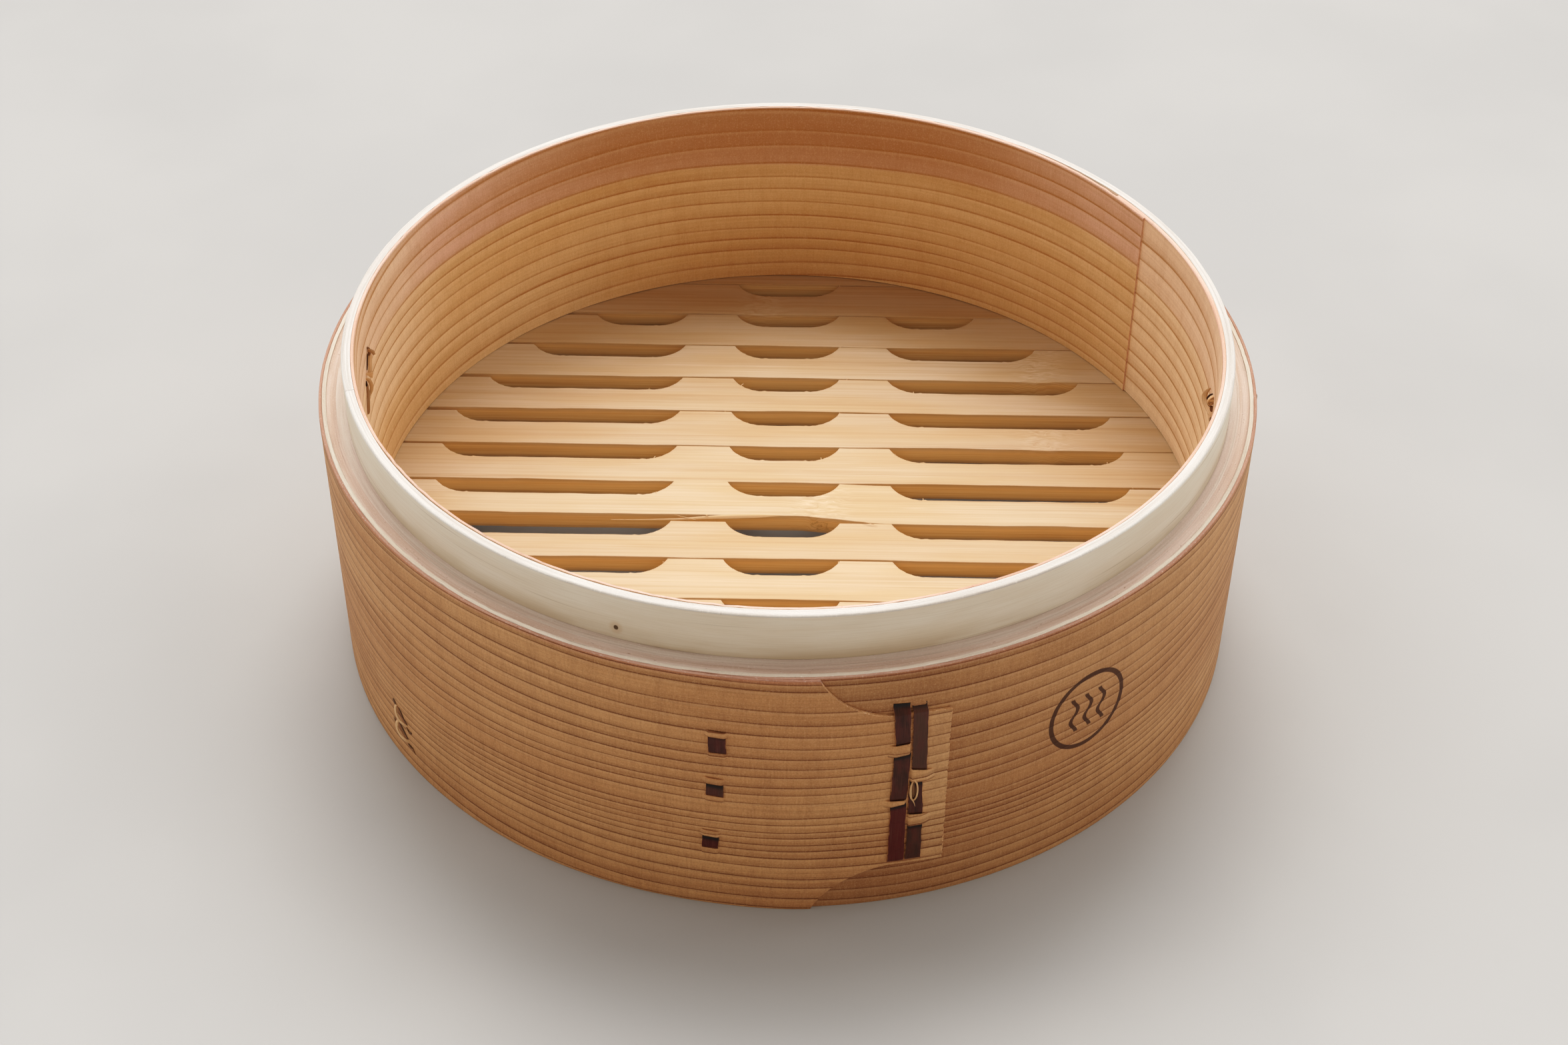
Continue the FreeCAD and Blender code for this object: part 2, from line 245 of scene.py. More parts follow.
def bent_board(name, slot, materials, replaces, **board):
    """A board bent round the axis, lofted along its length from a rounded cross-section.

    stations are arc lengths, measured at ARC_RADIUS from the angle start. inner, thick, low and high are
    functions of them. Material 0 is on the faces of the board and material 1 on its edges.
    """
    s = board["stations"]
    get = {k: np.broadcast_to(board[k](s), s.shape)[:, None] for k in ("inner", "thick", "low", "high")}
    outer_rows, inner_rows, edge_rows = board["rows"]
    top_outer, top_inner, foot = board["rounds"]
    quarter = np.radians(np.array([22.5, 45.0, 67.5]))
    inner, outer = get["inner"], get["inner"] + get["thick"]
    low, high = get["low"], get["high"]

    up = np.linspace(0, 1, outer_rows)[None, :]
    down = np.linspace(1, 0, inner_rows)[None, :]
    across = np.linspace(0, 1, edge_rows)[None, :]
    zero = np.zeros_like(s)[:, None]
    parts = [
        (outer + 0 * up, low + foot + up * (high - low - foot - top_outer)),
        (outer - top_outer * (1 - np.cos(quarter)), high - top_outer * (1 - np.sin(quarter)) + zero),
        (outer - top_outer + across * (inner + top_inner - outer + top_outer), high + 0 * across),
        (inner + top_inner * (1 - np.sin(quarter)), high - top_inner * (1 - np.cos(quarter)) + zero),
        (inner + 0 * down, low + foot + down * (high - low - foot - top_inner)),
        (inner + foot * (1 - np.cos(quarter)), low + foot * (1 - np.sin(quarter)) + zero),
        (inner + foot + across * (outer - inner - 2 * foot), low + 0 * across),
        (outer - foot * (1 - np.sin(quarter)), low + foot * (1 - np.cos(quarter)) + zero),
    ]
    radius = np.concatenate([p[0] + zero for p in parts], axis=1)
    z = np.concatenate([p[1] for p in parts], axis=1)
    along = np.repeat(s[:, None], radius.shape[1], axis=1)
    kinds = np.concatenate([np.full(p[1].shape[1], i) for i, p in enumerate(parts)])

    phase, width = board["rings"](along, z)
    relief = ring_relief(phase, width, board.get("relief", 0.05))
    radius = radius + np.where(kinds == OUTER, relief, np.where(kinds == INNER, -relief, 0))
    if "warp" in board:
        along, z, radius = board["warp"](along, z, radius, kinds)

    steps = np.hypot(np.diff(radius, axis=1), np.diff(z, axis=1))
    across_board = np.concatenate([zero, np.cumsum(steps, axis=1)], axis=1)
    angle = math.radians(board["start"]) + along / ARC_RADIUS
    points = polar(radius, angle, z).reshape(-1, 3)
    tone = board["tone"](along, z) if "tone" in board else 0.0
    attributes = {"wood": triples(along, across_board, tone), "rings": triples(phase, width, 0.0)}
    faces = loft_sides(np.arange(z.size).reshape(z.shape))
    edge = np.tile(np.isin(kinds, (TOP_OUTER, TOP, TOP_INNER, FOOT)).astype(int), len(s) - 1).tolist()
    for station in (0, len(s) - 1):
        cap = zipped_cap(kinds, z[station], station * len(kinds))
        faces += [tri if station else tri[::-1] for tri in cap]
        edge += [1] * len(cap)
    return new_piece(
        name, points, faces, slot, materials, replaces, attributes=attributes, face_materials=edge
    )


def arc_height(points, s, side):
    """Height at s of the arc through three points. side is 1 above the arc's centre and -1 below it."""
    (x0, y0), (x1, y1), (x2, y2) = points
    matrix = np.array([[x1 - x0, y1 - y0], [x2 - x0, y2 - y0]])
    right = np.array([x1**2 - x0**2 + y1**2 - y0**2, x2**2 - x0**2 + y2**2 - y0**2]) / 2
    cx, cy = np.linalg.solve(matrix, right)
    radius = math.hypot(x0 - cx, y0 - cy)
    return cy + side * np.sqrt(np.maximum(radius**2 - (s - cx) ** 2, 0))


def tongue_high(s):
    """Upper edge of the outer hoop's strip, which narrows to a tongue at its end."""
    t = s - LAP_TURN
    curve = arc_height(TONGUE_TOP, np.clip(t, TONGUE_TOP[0][0], TONGUE_TOP[2][0]), -1)
    start = TONGUE_TOP[2][1] + TONGUE_STEP
    edge = start + (t - TONGUE_SHOULDER) * (TONGUE_END[1] - start) / TONGUE_RUN
    high = np.where(t < TONGUE_TOP[0][0], HOOP_TOP, curve)
    step = smoothstep(TONGUE_SHOULDER, TONGUE_SHOULDER + 0.4, t)
    return np.where(t > TONGUE_SHOULDER, curve + (edge - curve) * step, high)


def tongue_low(s):
    """Lower edge of the same strip."""
    t = s - LAP_TURN
    curve = arc_height(TONGUE_BOTTOM, np.clip(t, TONGUE_BOTTOM[2][0], TONGUE_BOTTOM[0][0]), 1)
    start = TONGUE_BOTTOM[0][1]
    edge = start + (t - TONGUE_SHOULDER) * (TONGUE_END[2] - start) / TONGUE_RUN
    low = np.where(t < TONGUE_BOTTOM[2][0], 0.0, curve)
    return np.where(t > TONGUE_BOTTOM[0][0], edge, low)


def skived(t):
    """Share of its full thickness that the strip's start has, as it is shaved to a feather edge."""
    return FEATHER_EDGE + (1 - FEATHER_EDGE) * smoothstep(LAP_START, LAP_FULL, t)


def strip_inner(s):
    """The strip's end climbs onto its own start."""
    t = s - LAP_TURN
    return VENEER_RADIUS + (STRIP * skived(t) + 0.03) * smoothstep(LAP_START - 4, LAP_START, t)


def strip_thickness(s):
    return STRIP * skived(s)


def lap_surface(s):
    """Radius of the lapped end's outer surface, at an arc length from -Y."""
    return strip_inner(s + LAP_TURN) + STRIP


def strip_warp(along, z, radius, kinds):
    """The toothed sawn end of the outer hoop, and its slightly frayed edges."""
    near_end = smoothstep(TONGUE_END[0] - 2.1, TONGUE_END[0], along - LAP_TURN)
    teeth = 0.34 * np.sin(z * 1.9 + 0.8 * np.sin(z * 0.7)) ** 2 + 0.07 * np.sin(z * 3.3) * np.sin(z * 0.9)
    along = along + near_end * (0.26 + np.where(kinds == OUTER, teeth - 0.34, 0))
    fray = 0.06 * np.sin(along * 1.9 + 2 * np.sin(along * 0.37)) + 0.05 * np.sin(along * 0.61)
    return along, z + np.where(kinds == TOP, fray, 0), radius


def strip_tone(along, z):
    """The board is darker where the strip starts, and paler at its dry laced end."""
    start = 0.4 * smoothstep(150, 20, along) * smoothstep(-30, 0, along) + 0.3 * bump(along, 20, 20)
    return start - 0.14 * smoothstep(28, 36, along - LAP_TURN)


# ---------------------------------------------------------------- materials


def srgb(red, green, blue):
    """Linear colour of an 8-bit sRGB one."""
    channel = [c / 255 for c in (red, green, blue)]
    return (*[c / 12.92 if c <= 0.04045 else ((c + 0.055) / 1.055) ** 2.4 for c in channel], 1.0)


class Shader:
    """A small helper that builds a material's node tree."""

    def __init__(self, name):
        self.material = bpy.data.materials.new(name)
        self.material.use_nodes = True
        self.tree = self.material.node_tree
        self.tree.nodes.clear()
        self.surface = self.tree.nodes.new("ShaderNodeBsdfPrincipled")
        out = self.tree.nodes.new("ShaderNodeOutputMaterial")
        self.tree.links.new(self.surface.outputs[0], out.inputs[0])

    def put(self, socket, value):
        if isinstance(value, bpy.types.NodeSocket):
            self.tree.links.new(value, socket)
        else:
            socket.default_value = value

    def node(self, kind, inputs=(), **settings):
        """Outputs of a new node. inputs are its inputs in order, or a dictionary of them."""
        node = self.tree.nodes.new("ShaderNode" + kind)
        for key, value in settings.items():
            setattr(node, key, value)
        for key, value in inputs.items() if isinstance(inputs, dict) else enumerate(inputs):
            self.put(node.inputs[key], value)
        return node.outputs

    def math(self, operation, a, b=0.0, c=0.0):
        return self.node("Math", (a, b, c), operation=operation)[0]

    def times(self, a, b):
        return self.math("MULTIPLY", a, b)

    def plus(self, a, b):
        return self.math("ADD", a, b)

    def minus(self, a, b):
        return self.math("SUBTRACT", a, b)

    def absolute(self, a):
        return self.math("ABSOLUTE", a)

    def distance(self, x, y):
        return self.math("SQRT", self.math("MULTIPLY_ADD", x, x, self.times(y, y)))

    def fade(self, value, low, high, at_low=0.0, at_high=1.0):
        """Smooth change from at_low to at_high as value goes from low to high."""
        return self.node("MapRange", (value, low, high, at_low, at_high), interpolation_type="SMOOTHSTEP")[0]

    def mix(self, factor, a, b):
        return self.node("Mix", {0: factor, 6: a, 7: b}, data_type="RGBA")[2]

    def stain(self, colour, value, low, high, share, tint):
        """The colour, with up to a share of a tint as value goes from low to high."""
        return self.mix(self.fade(value, low, high, 0.0, share), colour, tint)

    def vector(self, x, y, z=0.0):
        return self.node("CombineXYZ", (x, y, z))[0]

    def attribute(self, name):
        """The three numbers of an attribute of the mesh."""
        return self.node("SeparateXYZ", [self.node("Attribute", attribute_name=name)["Vector"]])

    def place(self):
        """Object coordinates in millimetres."""
        place = self.node("SeparateXYZ", [self.node("TexCoord")["Object"]])
        return [self.times(c, 1 / MM) for c in place]

    def noise(self, vector, scale=1.0, detail=2.0):
        return self.node("TexNoise", {"Vector": vector, "Scale": scale, "Detail": detail})[0]

    def stretched(self, along, across, per_along, per_across, seed=0.0, detail=2.0):
        """Noise drawn out along the fibres: lengths of one blob in mm, along and across."""
        x, y = self.times(along, 1 / per_along), self.times(across, 1 / per_across)
        return self.noise(self.vector(x, y, seed), 1.0, detail)

    def finish(self, colour, roughness, specular, bumps=None):
        """The material. bumps are the height of its relief, the depth in mm and the strength."""
        self.put(self.surface.inputs["Base Color"], colour)
        self.put(self.surface.inputs["Roughness"], roughness)
        self.put(self.surface.inputs["Specular IOR Level"], specular)
        if bumps:
            height, depth, strength = bumps
            relief = {"Strength": strength, "Distance": depth * MM, "Height": height}
            self.put(self.surface.inputs["Normal"], self.node("Bump", relief)[0])
        return self.material


# A plain pictogram burnt into the wall: a ring with three wisps of steam.
MARK_ANGLE, MARK_HEIGHT, MARK_RADIUS, WISP_HEIGHT = 307.0, 44.0, 11.0, 5.2


def burnt_mark(m, along, height):
    """1 inside the lines of the pictogram, 0 elsewhere."""
    x = m.minus(along, math.radians(MARK_ANGLE - 270) * ARC_RADIUS)
    y = m.minus(height, MARK_HEIGHT)
    off_ring = m.absolute(m.minus(m.distance(x, y), MARK_RADIUS))
    drawn = m.fade(off_ring, 0.55, 0.75, 1.0, 0.0)
    sway = m.times(m.math("SINE", m.times(y, 0.85)), 0.9)
    inside = m.fade(m.absolute(y), WISP_HEIGHT, WISP_HEIGHT + 0.4, 1.0, 0.0)
    for shift in (-4.2, 0.0, 4.2):
        off = m.absolute(m.minus(m.minus(x, shift), sway))
        drawn = m.math("MAXIMUM", drawn, m.times(m.fade(off, 0.5, 0.7, 1.0, 0.0), inside))
    return drawn


def cedar(name, light, dark, deep, pale, line_width=0.5, soft=1.0, heart=None, rosy=None, mark=False):
    """Quarter-sawn cedar: pale early wood that darkens to a thin hard line in every ring.

    heart is (ring count, colour) of the wood above that ring. rosy is a height above which it is pinkish.
    """
    m = Shader(name)
    along, _, tone = m.attribute("wood")
    phase, width, _ = m.attribute("rings")
    x, y, height = m.place()
    within = m.math("FRACT", phase)
    to_line, past_line = m.times(m.minus(1.0, within), width), m.times(within, width)
    ring_noise = m.noise(m.vector(m.times(along, 0.012), m.times(m.math("FLOOR", phase), 7.7)), 1.0, 1.0)
    breaks = m.stretched(along, height, 11, 1.2, 17.0)
    reach = m.math("MULTIPLY_ADD", ring_noise, 0.5, line_width - 0.25)
    strength = m.fade(m.plus(ring_noise, m.times(breaks, 0.35)), 0.45, 0.9, 0.6, 1.0)
    strong = m.fade(ring_noise, 0.3, 0.6, 0.5, 1.0)
    shade = m.times(m.fade(to_line, 0.04, reach, 1.0, 0.0), strength)
    for part in (
        m.times(m.fade(to_line, 0.1, m.times(reach, 3.6), 0.36, 0.0), strong),
        m.times(m.math("POWER", within, 2.5), 0.22 * soft),
        m.times(m.fade(past_line, 0.0, 0.14, 1.0, 0.0), 0.7),
    ):
        shade = m.math("MAXIMUM", shade, part)
    fresh = m.times(m.fade(past_line, 0.1, 0.35), m.fade(past_line, 0.35, 1.2, 1.0, 0.0))
    fibre = m.stretched(along, height, 26, 0.22, 3.0, 3.0)
    streak = m.stretched(along, height, 110, 1.0, 8.0)
    patch = m.stretched(along, height, 80, 24, 14.0, 3.0)
    rays = m.stretched(along, height, 0.55, 4.5, 31.0)
    bars = m.stretched(along, height, 3.6, 30, 36.0)
    fleck = m.stretched(along, height, 1.1, 0.4, 21.0, 1.0)
    grit = m.noise(m.vector(x, y, height), 2.6)

    colour = m.mix(m.fade(patch, 0.35, 0.65), light, deep)
    if heart:
        wander = m.math("MULTIPLY_ADD", m.minus(patch, 0.5), 0.5, phase)
        colour = m.mix(m.fade(wander, heart[0] - 0.1, heart[0] + 0.1, 1.0, 0.0), colour, heart[1])
    if rosy:
        colour = m.stain(colour, height, rosy - 1.3, rosy, 0.6, srgb(214, 146, 122))
    # Positive tone darkens the wood and negative tone pales it. It holds the board's own darker and paler
    # parts, painted shade along the bridges' lower edges, and the lining's painted light and shade.
    colour = m.mix(m.times(m.math("MAXIMUM", tone, 0.0), 0.55), colour, dark)
    colour = m.stain(colour, tone, 0.0, -0.5, 1.0, pale)
    colour = m.stain(colour, streak, 0.4, 0.72, 0.16, dark)
    colour = m.mix(m.times(fresh, 0.16), colour, pale)
    colour = m.mix(shade, colour, dark)
    for noise, low, high, share, tint in (
        (fibre, 0.35, 0.7, 0.15, dark),
        (rays, 0.45, 0.75, 0.13, dark),
        (rays, 0.45, 0.2, 0.10, pale),
        (bars, 0.4, 0.7, 0.10, dark),
        (fleck, 0.27, 0.17, 0.35, dark),
        (grit, 0.52, 0.7, 0.16, dark),
        (grit, 0.48, 0.3, 0.14, pale),
    ):
        colour = m.stain(colour, noise, low, high, share, tint)
    if mark:
        colour = m.mix(m.times(burnt_mark(m, along, height), 0.9), colour, srgb(72, 44, 32))
    carved = m.math("MULTIPLY_ADD", shade, -0.8, m.times(fibre, 0.6))
    carved = m.plus(m.plus(carved, m.times(rays, 0.35)), m.times(grit, 0.3))
    return m.finish(colour, m.fade(fibre, 0.2, 0.8, 0.68, 0.56), 0.22, (carved, 0.06, 0.7))


def sawn_edge(name, pale, tint, dark, speckle=0.5, cracks=0.0, nicks=0.0, cut_below=None):
    """Sawn or sanded edge of a bent board: streaks along the hoop, with small pits, cracks and dark nicks.

    Below the height cut_below the cut is fresher and warmer.
    """
    m = Shader(name)
    along, _, _ = m.attribute("wood")
    x, y, height = m.place()
    depth = m.plus(m.distance(x, y), height)
    layer = m.stretched(along, depth, 60, 0.55, 2.0, 3.0)
    broad = m.stretched(along, depth, 45, 1.6, 5.0)
    pits = m.stretched(along, depth, 1.3, 0.45, 9.0, 1.0)
    fuzz = m.stretched(along, depth, 0.7, 0.25, 12.0)
    fibre = m.stretched(along, depth, 9, 0.2, 19.0)
    colour = m.mix(m.fade(broad, 0.35, 0.65), pale, tint)
    if cut_below:
        fresh = m.mix(m.fade(fuzz, 0.35, 0.7), srgb(206, 156, 112), srgb(228, 186, 144))
        colour = m.mix(m.fade(height, cut_below - 0.9, cut_below, 1.0, 0.0), colour, fresh)
    colour = m.stain(colour, layer, 0.45, 0.75, 0.4, dark)
    colour = m.stain(colour, fibre, 0.5, 0.8, 0.3, dark)
    colour = m.stain(colour, pits, 0.30, 0.22, speckle, dark)
    colour = m.stain(colour, fuzz, 0.55, 0.8, 0.25, (1, 0.97, 0.93, 1))
    if cracks:
        crack = m.absolute(m.minus(m.stretched(along, depth, 2.2, 1.3, 23.0), 0.5))
        some = m.fade(m.stretched(along, depth, 9.0, 4.0, 27.0, 1.0), 0.45, 0.62)
        colour = m.mix(m.times(m.fade(crack, 0.0, 0.02, cracks, 0.0), some), colour, dark)
    if nicks:
        nick = m.stretched(along, depth, 2.4, 0.5, 41.0, 1.0)
        colour = m.stain(colour, nick, 0.23, 0.19, nicks, srgb(96, 52, 44))
    return m.finish(colour, 0.74, 0.2, (m.plus(m.times(fuzz, 0.8), layer), 0.12, 0.9))


def white_board(name, pale, warm, grey):
    """Smooth white wood with a few faint long grain lines, one small knot, and a greyer foot of painted
    shade.
    """
    m = Shader(name)
    along, _, _ = m.attribute("wood")
    phase, width, _ = m.attribute("rings")
    _, _, height = m.place()
    to_line = m.times(m.minus(1.0, m.math("FRACT", phase)), width)
    broken = m.stretched(along, height, 55, 3.0, 4.0)
    line = m.times(m.fade(to_line, 0.05, 0.35, 1.0, 0.0), m.fade(broken, 0.5, 0.7, 0.0, 0.5))
    cloud = m.stretched(along, height, 40, 7, 6.0, 3.0)
    fibre = m.stretched(along, height, 12, 0.35, 9.0, 3.0)
    colour = m.mix(m.fade(cloud, 0.3, 0.7), pale, warm)
    colour = m.stain(colour, fibre, 0.35, 0.75, 0.3, grey)
    colour = m.mix(line, colour, srgb(150, 120, 92))
    knot = m.distance(m.minus(along, KNOT_PLACE[0]), m.times(m.minus(height, KNOT_PLACE[1]), 0.9))
    colour = m.mix(m.fade(knot, 0.9, 2.2, 0.35, 0.0), colour, srgb(196, 156, 110))
    colour = m.mix(m.fade(knot, 0.45, 0.75, 1.0, 0.0), colour, srgb(70, 40, 22))
    # Painted shade: patchy greyish brown up to 5.5 mm above the ledge, warmed like a painted reflection of
    # it.
    shaded_foot = m.times(m.fade(height, LEDGE + 5.5, LEDGE, 0.0, 0.5), m.fade(cloud, 0.3, 0.6))
    colour = m.mix(shaded_foot, colour, srgb(196, 178, 150))
    return m.finish(colour, 0.6, 0.2, (fibre, 0.03, 0.7))


def bamboo(name, light, honey, dark):
    """Split bamboo: fine straight fibres along X that waver at a joint of the cane, and a small knot.

    The attribute cane is (distance from the joint, tone, seed); its tone holds painted shade on the rear
    slats.
    The attribute knot is (distance from the knot along the slat, 1 on sawn sides, height above the knot).
    The sawn sides get a painted orange glow besides their own colour, and a pale sheen is painted in dashes
    and near the joint.
    """
    m = Shader(name)
    x, y, z = m.place()
    from_joint, tone, seed = m.attribute("cane")
    from_knot, sawn, above_knot = m.attribute("knot")
    # A pale tint painted as sheen: in light dashes along the fibres and near the joint.
    sheen_tint = (0.95, 0.8, 0.62, 1)
    near_joint = m.fade(m.absolute(from_joint), 1.0, 11.0, 1.0, 0.0)
    swirl = m.noise(m.vector(m.times(x, 0.2), m.times(y, 0.3), seed), 1.0, 1.0)
    feather = m.stretched(x, m.plus(y, z), 3.2, 0.5, seed, 3.0)
    side = m.plus(m.plus(y, z), m.times(m.minus(swirl, 0.5), m.times(near_joint, 8.0)))
    coarse = m.stretched(x, side, 150, 1.1, seed, 3.0)
    fibre = m.stretched(x, side, 60, 0.24, m.plus(seed, 4.0), 3.0)
    dashes = m.stretched(x, side, 16, 0.4, m.plus(seed, 2.0))
    cloud = m.stretched(x, side, 50, 8, m.plus(seed, 8.0))
    colour = m.mix(m.fade(cloud, 0.3, 0.7), light, honey)
    for noise, low, high, share, tint in (
        (coarse, 0.45, 0.75, 0.3, dark),
        (fibre, 0.45, 0.72, 0.26, dark),
        (fibre, 0.42, 0.2, 0.28, (0.92, 0.76, 0.58, 1)),
        (dashes, 0.66, 0.8, 0.22, dark),
        (dashes, 0.36, 0.22, 0.2, sheen_tint),
    ):
        colour = m.stain(colour, noise, low, high, share, tint)
    waver = m.absolute(m.plus(from_joint, m.times(swirl, 5.0)))
    ridge = m.times(m.fade(waver, 0.2, 2.4, 1.0, 0.0), m.fade(feather, 0.4, 0.6))
    colour = m.mix(m.times(ridge, 0.2), colour, dark)
    colour = m.mix(m.times(near_joint, m.fade(feather, 0.6, 0.3, 0.0, 0.24)), colour, sheen_tint)
    # Tone darkens the slat: its own random tone, and painted shade on the rear slats.
    colour = m.mix(m.times(tone, 0.45), colour, srgb(158, 106, 50))
    # Sawn sides: orange, partly their own cut colour and partly a painted glow for light passing through the
    # bamboo.
    raw = m.mix(m.fade(fibre, 0.4, 0.7), (0.88, 0.6, 0.3, 1), (0.74, 0.44, 0.19, 1))
    colour = m.mix(m.times(sawn, 0.8), colour, raw)
    wobble = m.noise(m.vector(m.times(x, 0.9), m.times(z, 0.9), 5.0))
    flat_knot = m.times(m.times(from_knot, from_knot), 0.35)
    knot = m.math("SQRT", m.plus(flat_knot, m.times(above_knot, above_knot)))
    knot = m.math("MULTIPLY_ADD", m.minus(wobble, 0.5), 2.4, knot)
    scales = m.fade(m.math("SINE", m.times(knot, 6.5)), -0.6, 0.9, 0.08, 0.36)
    colour = m.mix(m.fade(knot, 0.8, 2.3, scales, 0.0), colour, srgb(128, 80, 40))
    relief = (m.plus(m.times(fibre, 0.5), coarse), 0.04, 0.6)
    return m.finish(colour, m.fade(fibre, 0.2, 0.8, 0.56, 0.46), 0.25, relief)


def bark(name):
    """Polished cherry bark: maroon with fine lines along the strip, small pale scuffs and raw tan sides.

    The attribute rings is (distance from the slit, 1 at the sides of the strip, weathering). Just below
    the slit it comes out of, the strip is darkened as painted shadow.
    """
    m = Shader(name)
    along, across, tone = m.attribute("wood")
    from_slit, side, weather = m.attribute("rings")
    lines = m.stretched(along, across, 9, 0.16, 2.0, 3.0)
    cloud = m.stretched(along, across, 5, 1.8, 5.0)
    scuff = m.stretched(along, across, 0.9, 0.3, 9.0)
    chips = m.stretched(along, across, 1.6, 6.0, 15.0)
    colour = m.mix(m.fade(cloud, 0.3, 0.7), srgb(84, 34, 25), srgb(56, 24, 18))
    colour = m.stain(colour, tone, 0.3, 0.6, 0.8, srgb(96, 24, 20))
    colour = m.mix(m.times(weather, m.fade(cloud, 0.25, 0.6, 0.3, 0.75)), colour, srgb(92, 64, 48))
    colour = m.stain(colour, lines, 0.42, 0.75, 0.4, srgb(112, 74, 58))
    colour = m.stain(colour, scuff, 0.7, 0.82, 0.4, srgb(160, 132, 112))
    rim = m.times(m.fade(side, 0.75, 0.97), m.fade(chips, 0.42, 0.58, 0.1, 0.95))
    colour = m.mix(rim, colour, srgb(168, 116, 74))
    # Painted shadow: near black just below the slit, where the strip comes out from under the wood.
    colour = m.mix(m.fade(from_slit, 0.3, 1.75, 0.94, 0.0), colour, srgb(18, 8, 6))
    return m.finish(colour, m.fade(cloud, 0.3, 0.7, 0.36, 0.52), 0.35, (lines, 0.06, 0.8))


def fibre_tie(name):
    """Dry plant fibre, streaked along its length. It is brown at tone 1 and dark at tone 2; the darkest
    strands stand for painted shadows and painted shade in holes.
    """
    m = Shader(name)
    along, across, tone = m.attribute("wood")
    lines = m.stretched(along, across, 6, 0.12, 1.0, 3.0)
    colour = m.mix(m.fade(lines, 0.3, 0.7), srgb(226, 193, 153), srgb(200, 154, 108))
    colour = m.mix(m.times(m.math("MINIMUM", tone, 1.0), 0.8), colour, srgb(104, 62, 30))
    colour = m.mix(m.fade(tone, 1.0, 2.0), colour, srgb(58, 33, 17))
    return m.finish(colour, 0.6, 0.3, (lines, 0.06, 0.8))


def pale_floor(name):
    """Plain pale paper-like floor, with only a faint change of tone."""
    m = Shader(name)
    cloud = m.noise(m.vector(*m.place()), 0.008, 3.0)
    colour = m.mix(m.fade(cloud, 0.35, 0.65), (0.425, 0.422, 0.418, 1), (0.45, 0.446, 0.44, 1))
    return m.finish(colour, 0.9, 0.1)


# ---------------------------------------------------------------- wall

KNOT_ANGLE, KNOT_HEIGHT = 251.0, 77.4
COLLAR_JOINT = 196.7
KNOT_PLACE = (math.radians(KNOT_ANGLE - COLLAR_JOINT) * ARC_RADIUS, KNOT_HEIGHT)

# Widths of the annual rings that show, from the top down.
HOOP_WIDTHS = (
    1.9, 1.7, 5.4, 3.5, 3.3, 3.7, 3.5, 3.4, 3.0, 3.9, 2.6, 3.2,
    5.6, 2.2, 2.7, 1.8, 2.3, 1.8, 2.3, 2.7, 3.5, 2.5, 3.4,
)
HOOP_RINGS = Rings(HOOP_TOP, HOOP_WIDTHS)
LINING_WIDTHS = (1.5, 5.8, 4.0, 5.3, 4.2, 4.1, 4.6, 5.4, 4.9, 4.1, 3.9, 4.8, 4.3)

EDGE_COLOURS = {
    "cedar_edge": (srgb(180, 142, 123), srgb(166, 124, 104), srgb(120, 72, 54)),
    "white_edge": (srgb(216, 212, 207), srgb(208, 201, 194), srgb(160, 146, 134)),
    "veneer_edge": (srgb(213, 203, 189), srgb(205, 191, 175), srgb(160, 144, 128)),
    "core_pink": (srgb(209, 189, 177), srgb(198, 172, 156), srgb(158, 128, 112)),
    "core_pale": (srgb(216, 202, 192), srgb(208, 188, 176), srgb(166, 142, 122)),
    "lining_edge": (srgb(222, 192, 176), srgb(212, 172, 152), srgb(186, 128, 104)),
}
EDGE_WEAR = {
    "cedar_edge": dict(nicks=0.6, cut_below=HOOP_TOP - 0.6),
    "white_edge": dict(speckle=0.3),
    "veneer_edge": dict(speckle=0.3, cracks=0.15),
    "core_pink": dict(speckle=0.8, nicks=0.7),
    "core_pale": dict(),
    "lining_edge": dict(speckle=0.3, cracks=0.3),
}
WOOD = {name: sawn_edge(name, *colours, **EDGE_WEAR[name]) for name, colours in EDGE_COLOURS.items()}
WOOD |= {
    "cedar_hoop": cedar(
        "cedar_hoop", srgb(214, 165, 119), srgb(112, 66, 38), srgb(202, 151, 107), (0.86, 0.6, 0.36, 1),
        mark=True, rosy=HOOP_TOP - 0.2,
    ),
    "lining": cedar(
        "lining_cedar", srgb(230, 198, 155), srgb(172, 120, 70), srgb(222, 185, 138), (0.92, 0.73, 0.52, 1),
        line_width=0.95, soft=1.3, heart=(4.0, srgb(226, 188, 168)),
    ),
    "collar": white_board("collar_wood", srgb(233, 226, 212), srgb(227, 216, 198), srgb(209, 194, 170)),
    "bamboo": bamboo("slat_bamboo", srgb(206, 181, 151), srgb(199, 168, 129), srgb(164, 118, 66)),
    "bark": bark("cherry_bark"),
    "fibre": fibre_tie("tie_fibre"),
}


def build_outer_hoop():
    """One strip all round, with finer stations where it is laced and where it ends in the tongue."""
    ends = (LAP_START, LAP_TURN - 80, LAP_TURN - 21, LAP_TURN - 10, LAP_TURN + 7, LAP_TURN + TONGUE_END[0])
    steps = (3.0, 2.0, 0.4, 1.0, 0.32)
    stations = np.concatenate([even(*stretch) for stretch in zip(ends, ends[1:], steps)])
    bent_board(
        "outer_hoop_strip", "cedar_hoop", ("cedar_hoop", "cedar_edge"), ["outer_hoop"],
        start=270.0,
        stations=np.unique(stations.round(4)),
        inner=strip_inner,
        thick=strip_thickness,
        low=tongue_low,
        high=tongue_high,
        rows=(230, 6, 3),
        rounds=(0.22, 0.1, 0.15),
        rings=HOOP_RINGS,
        relief=0.09,
        warp=strip_warp,
        tone=strip_tone,
    )


def ring_stations(step=3.0, gap=0.06):
    return even(gap, LAP_TURN - gap, step)


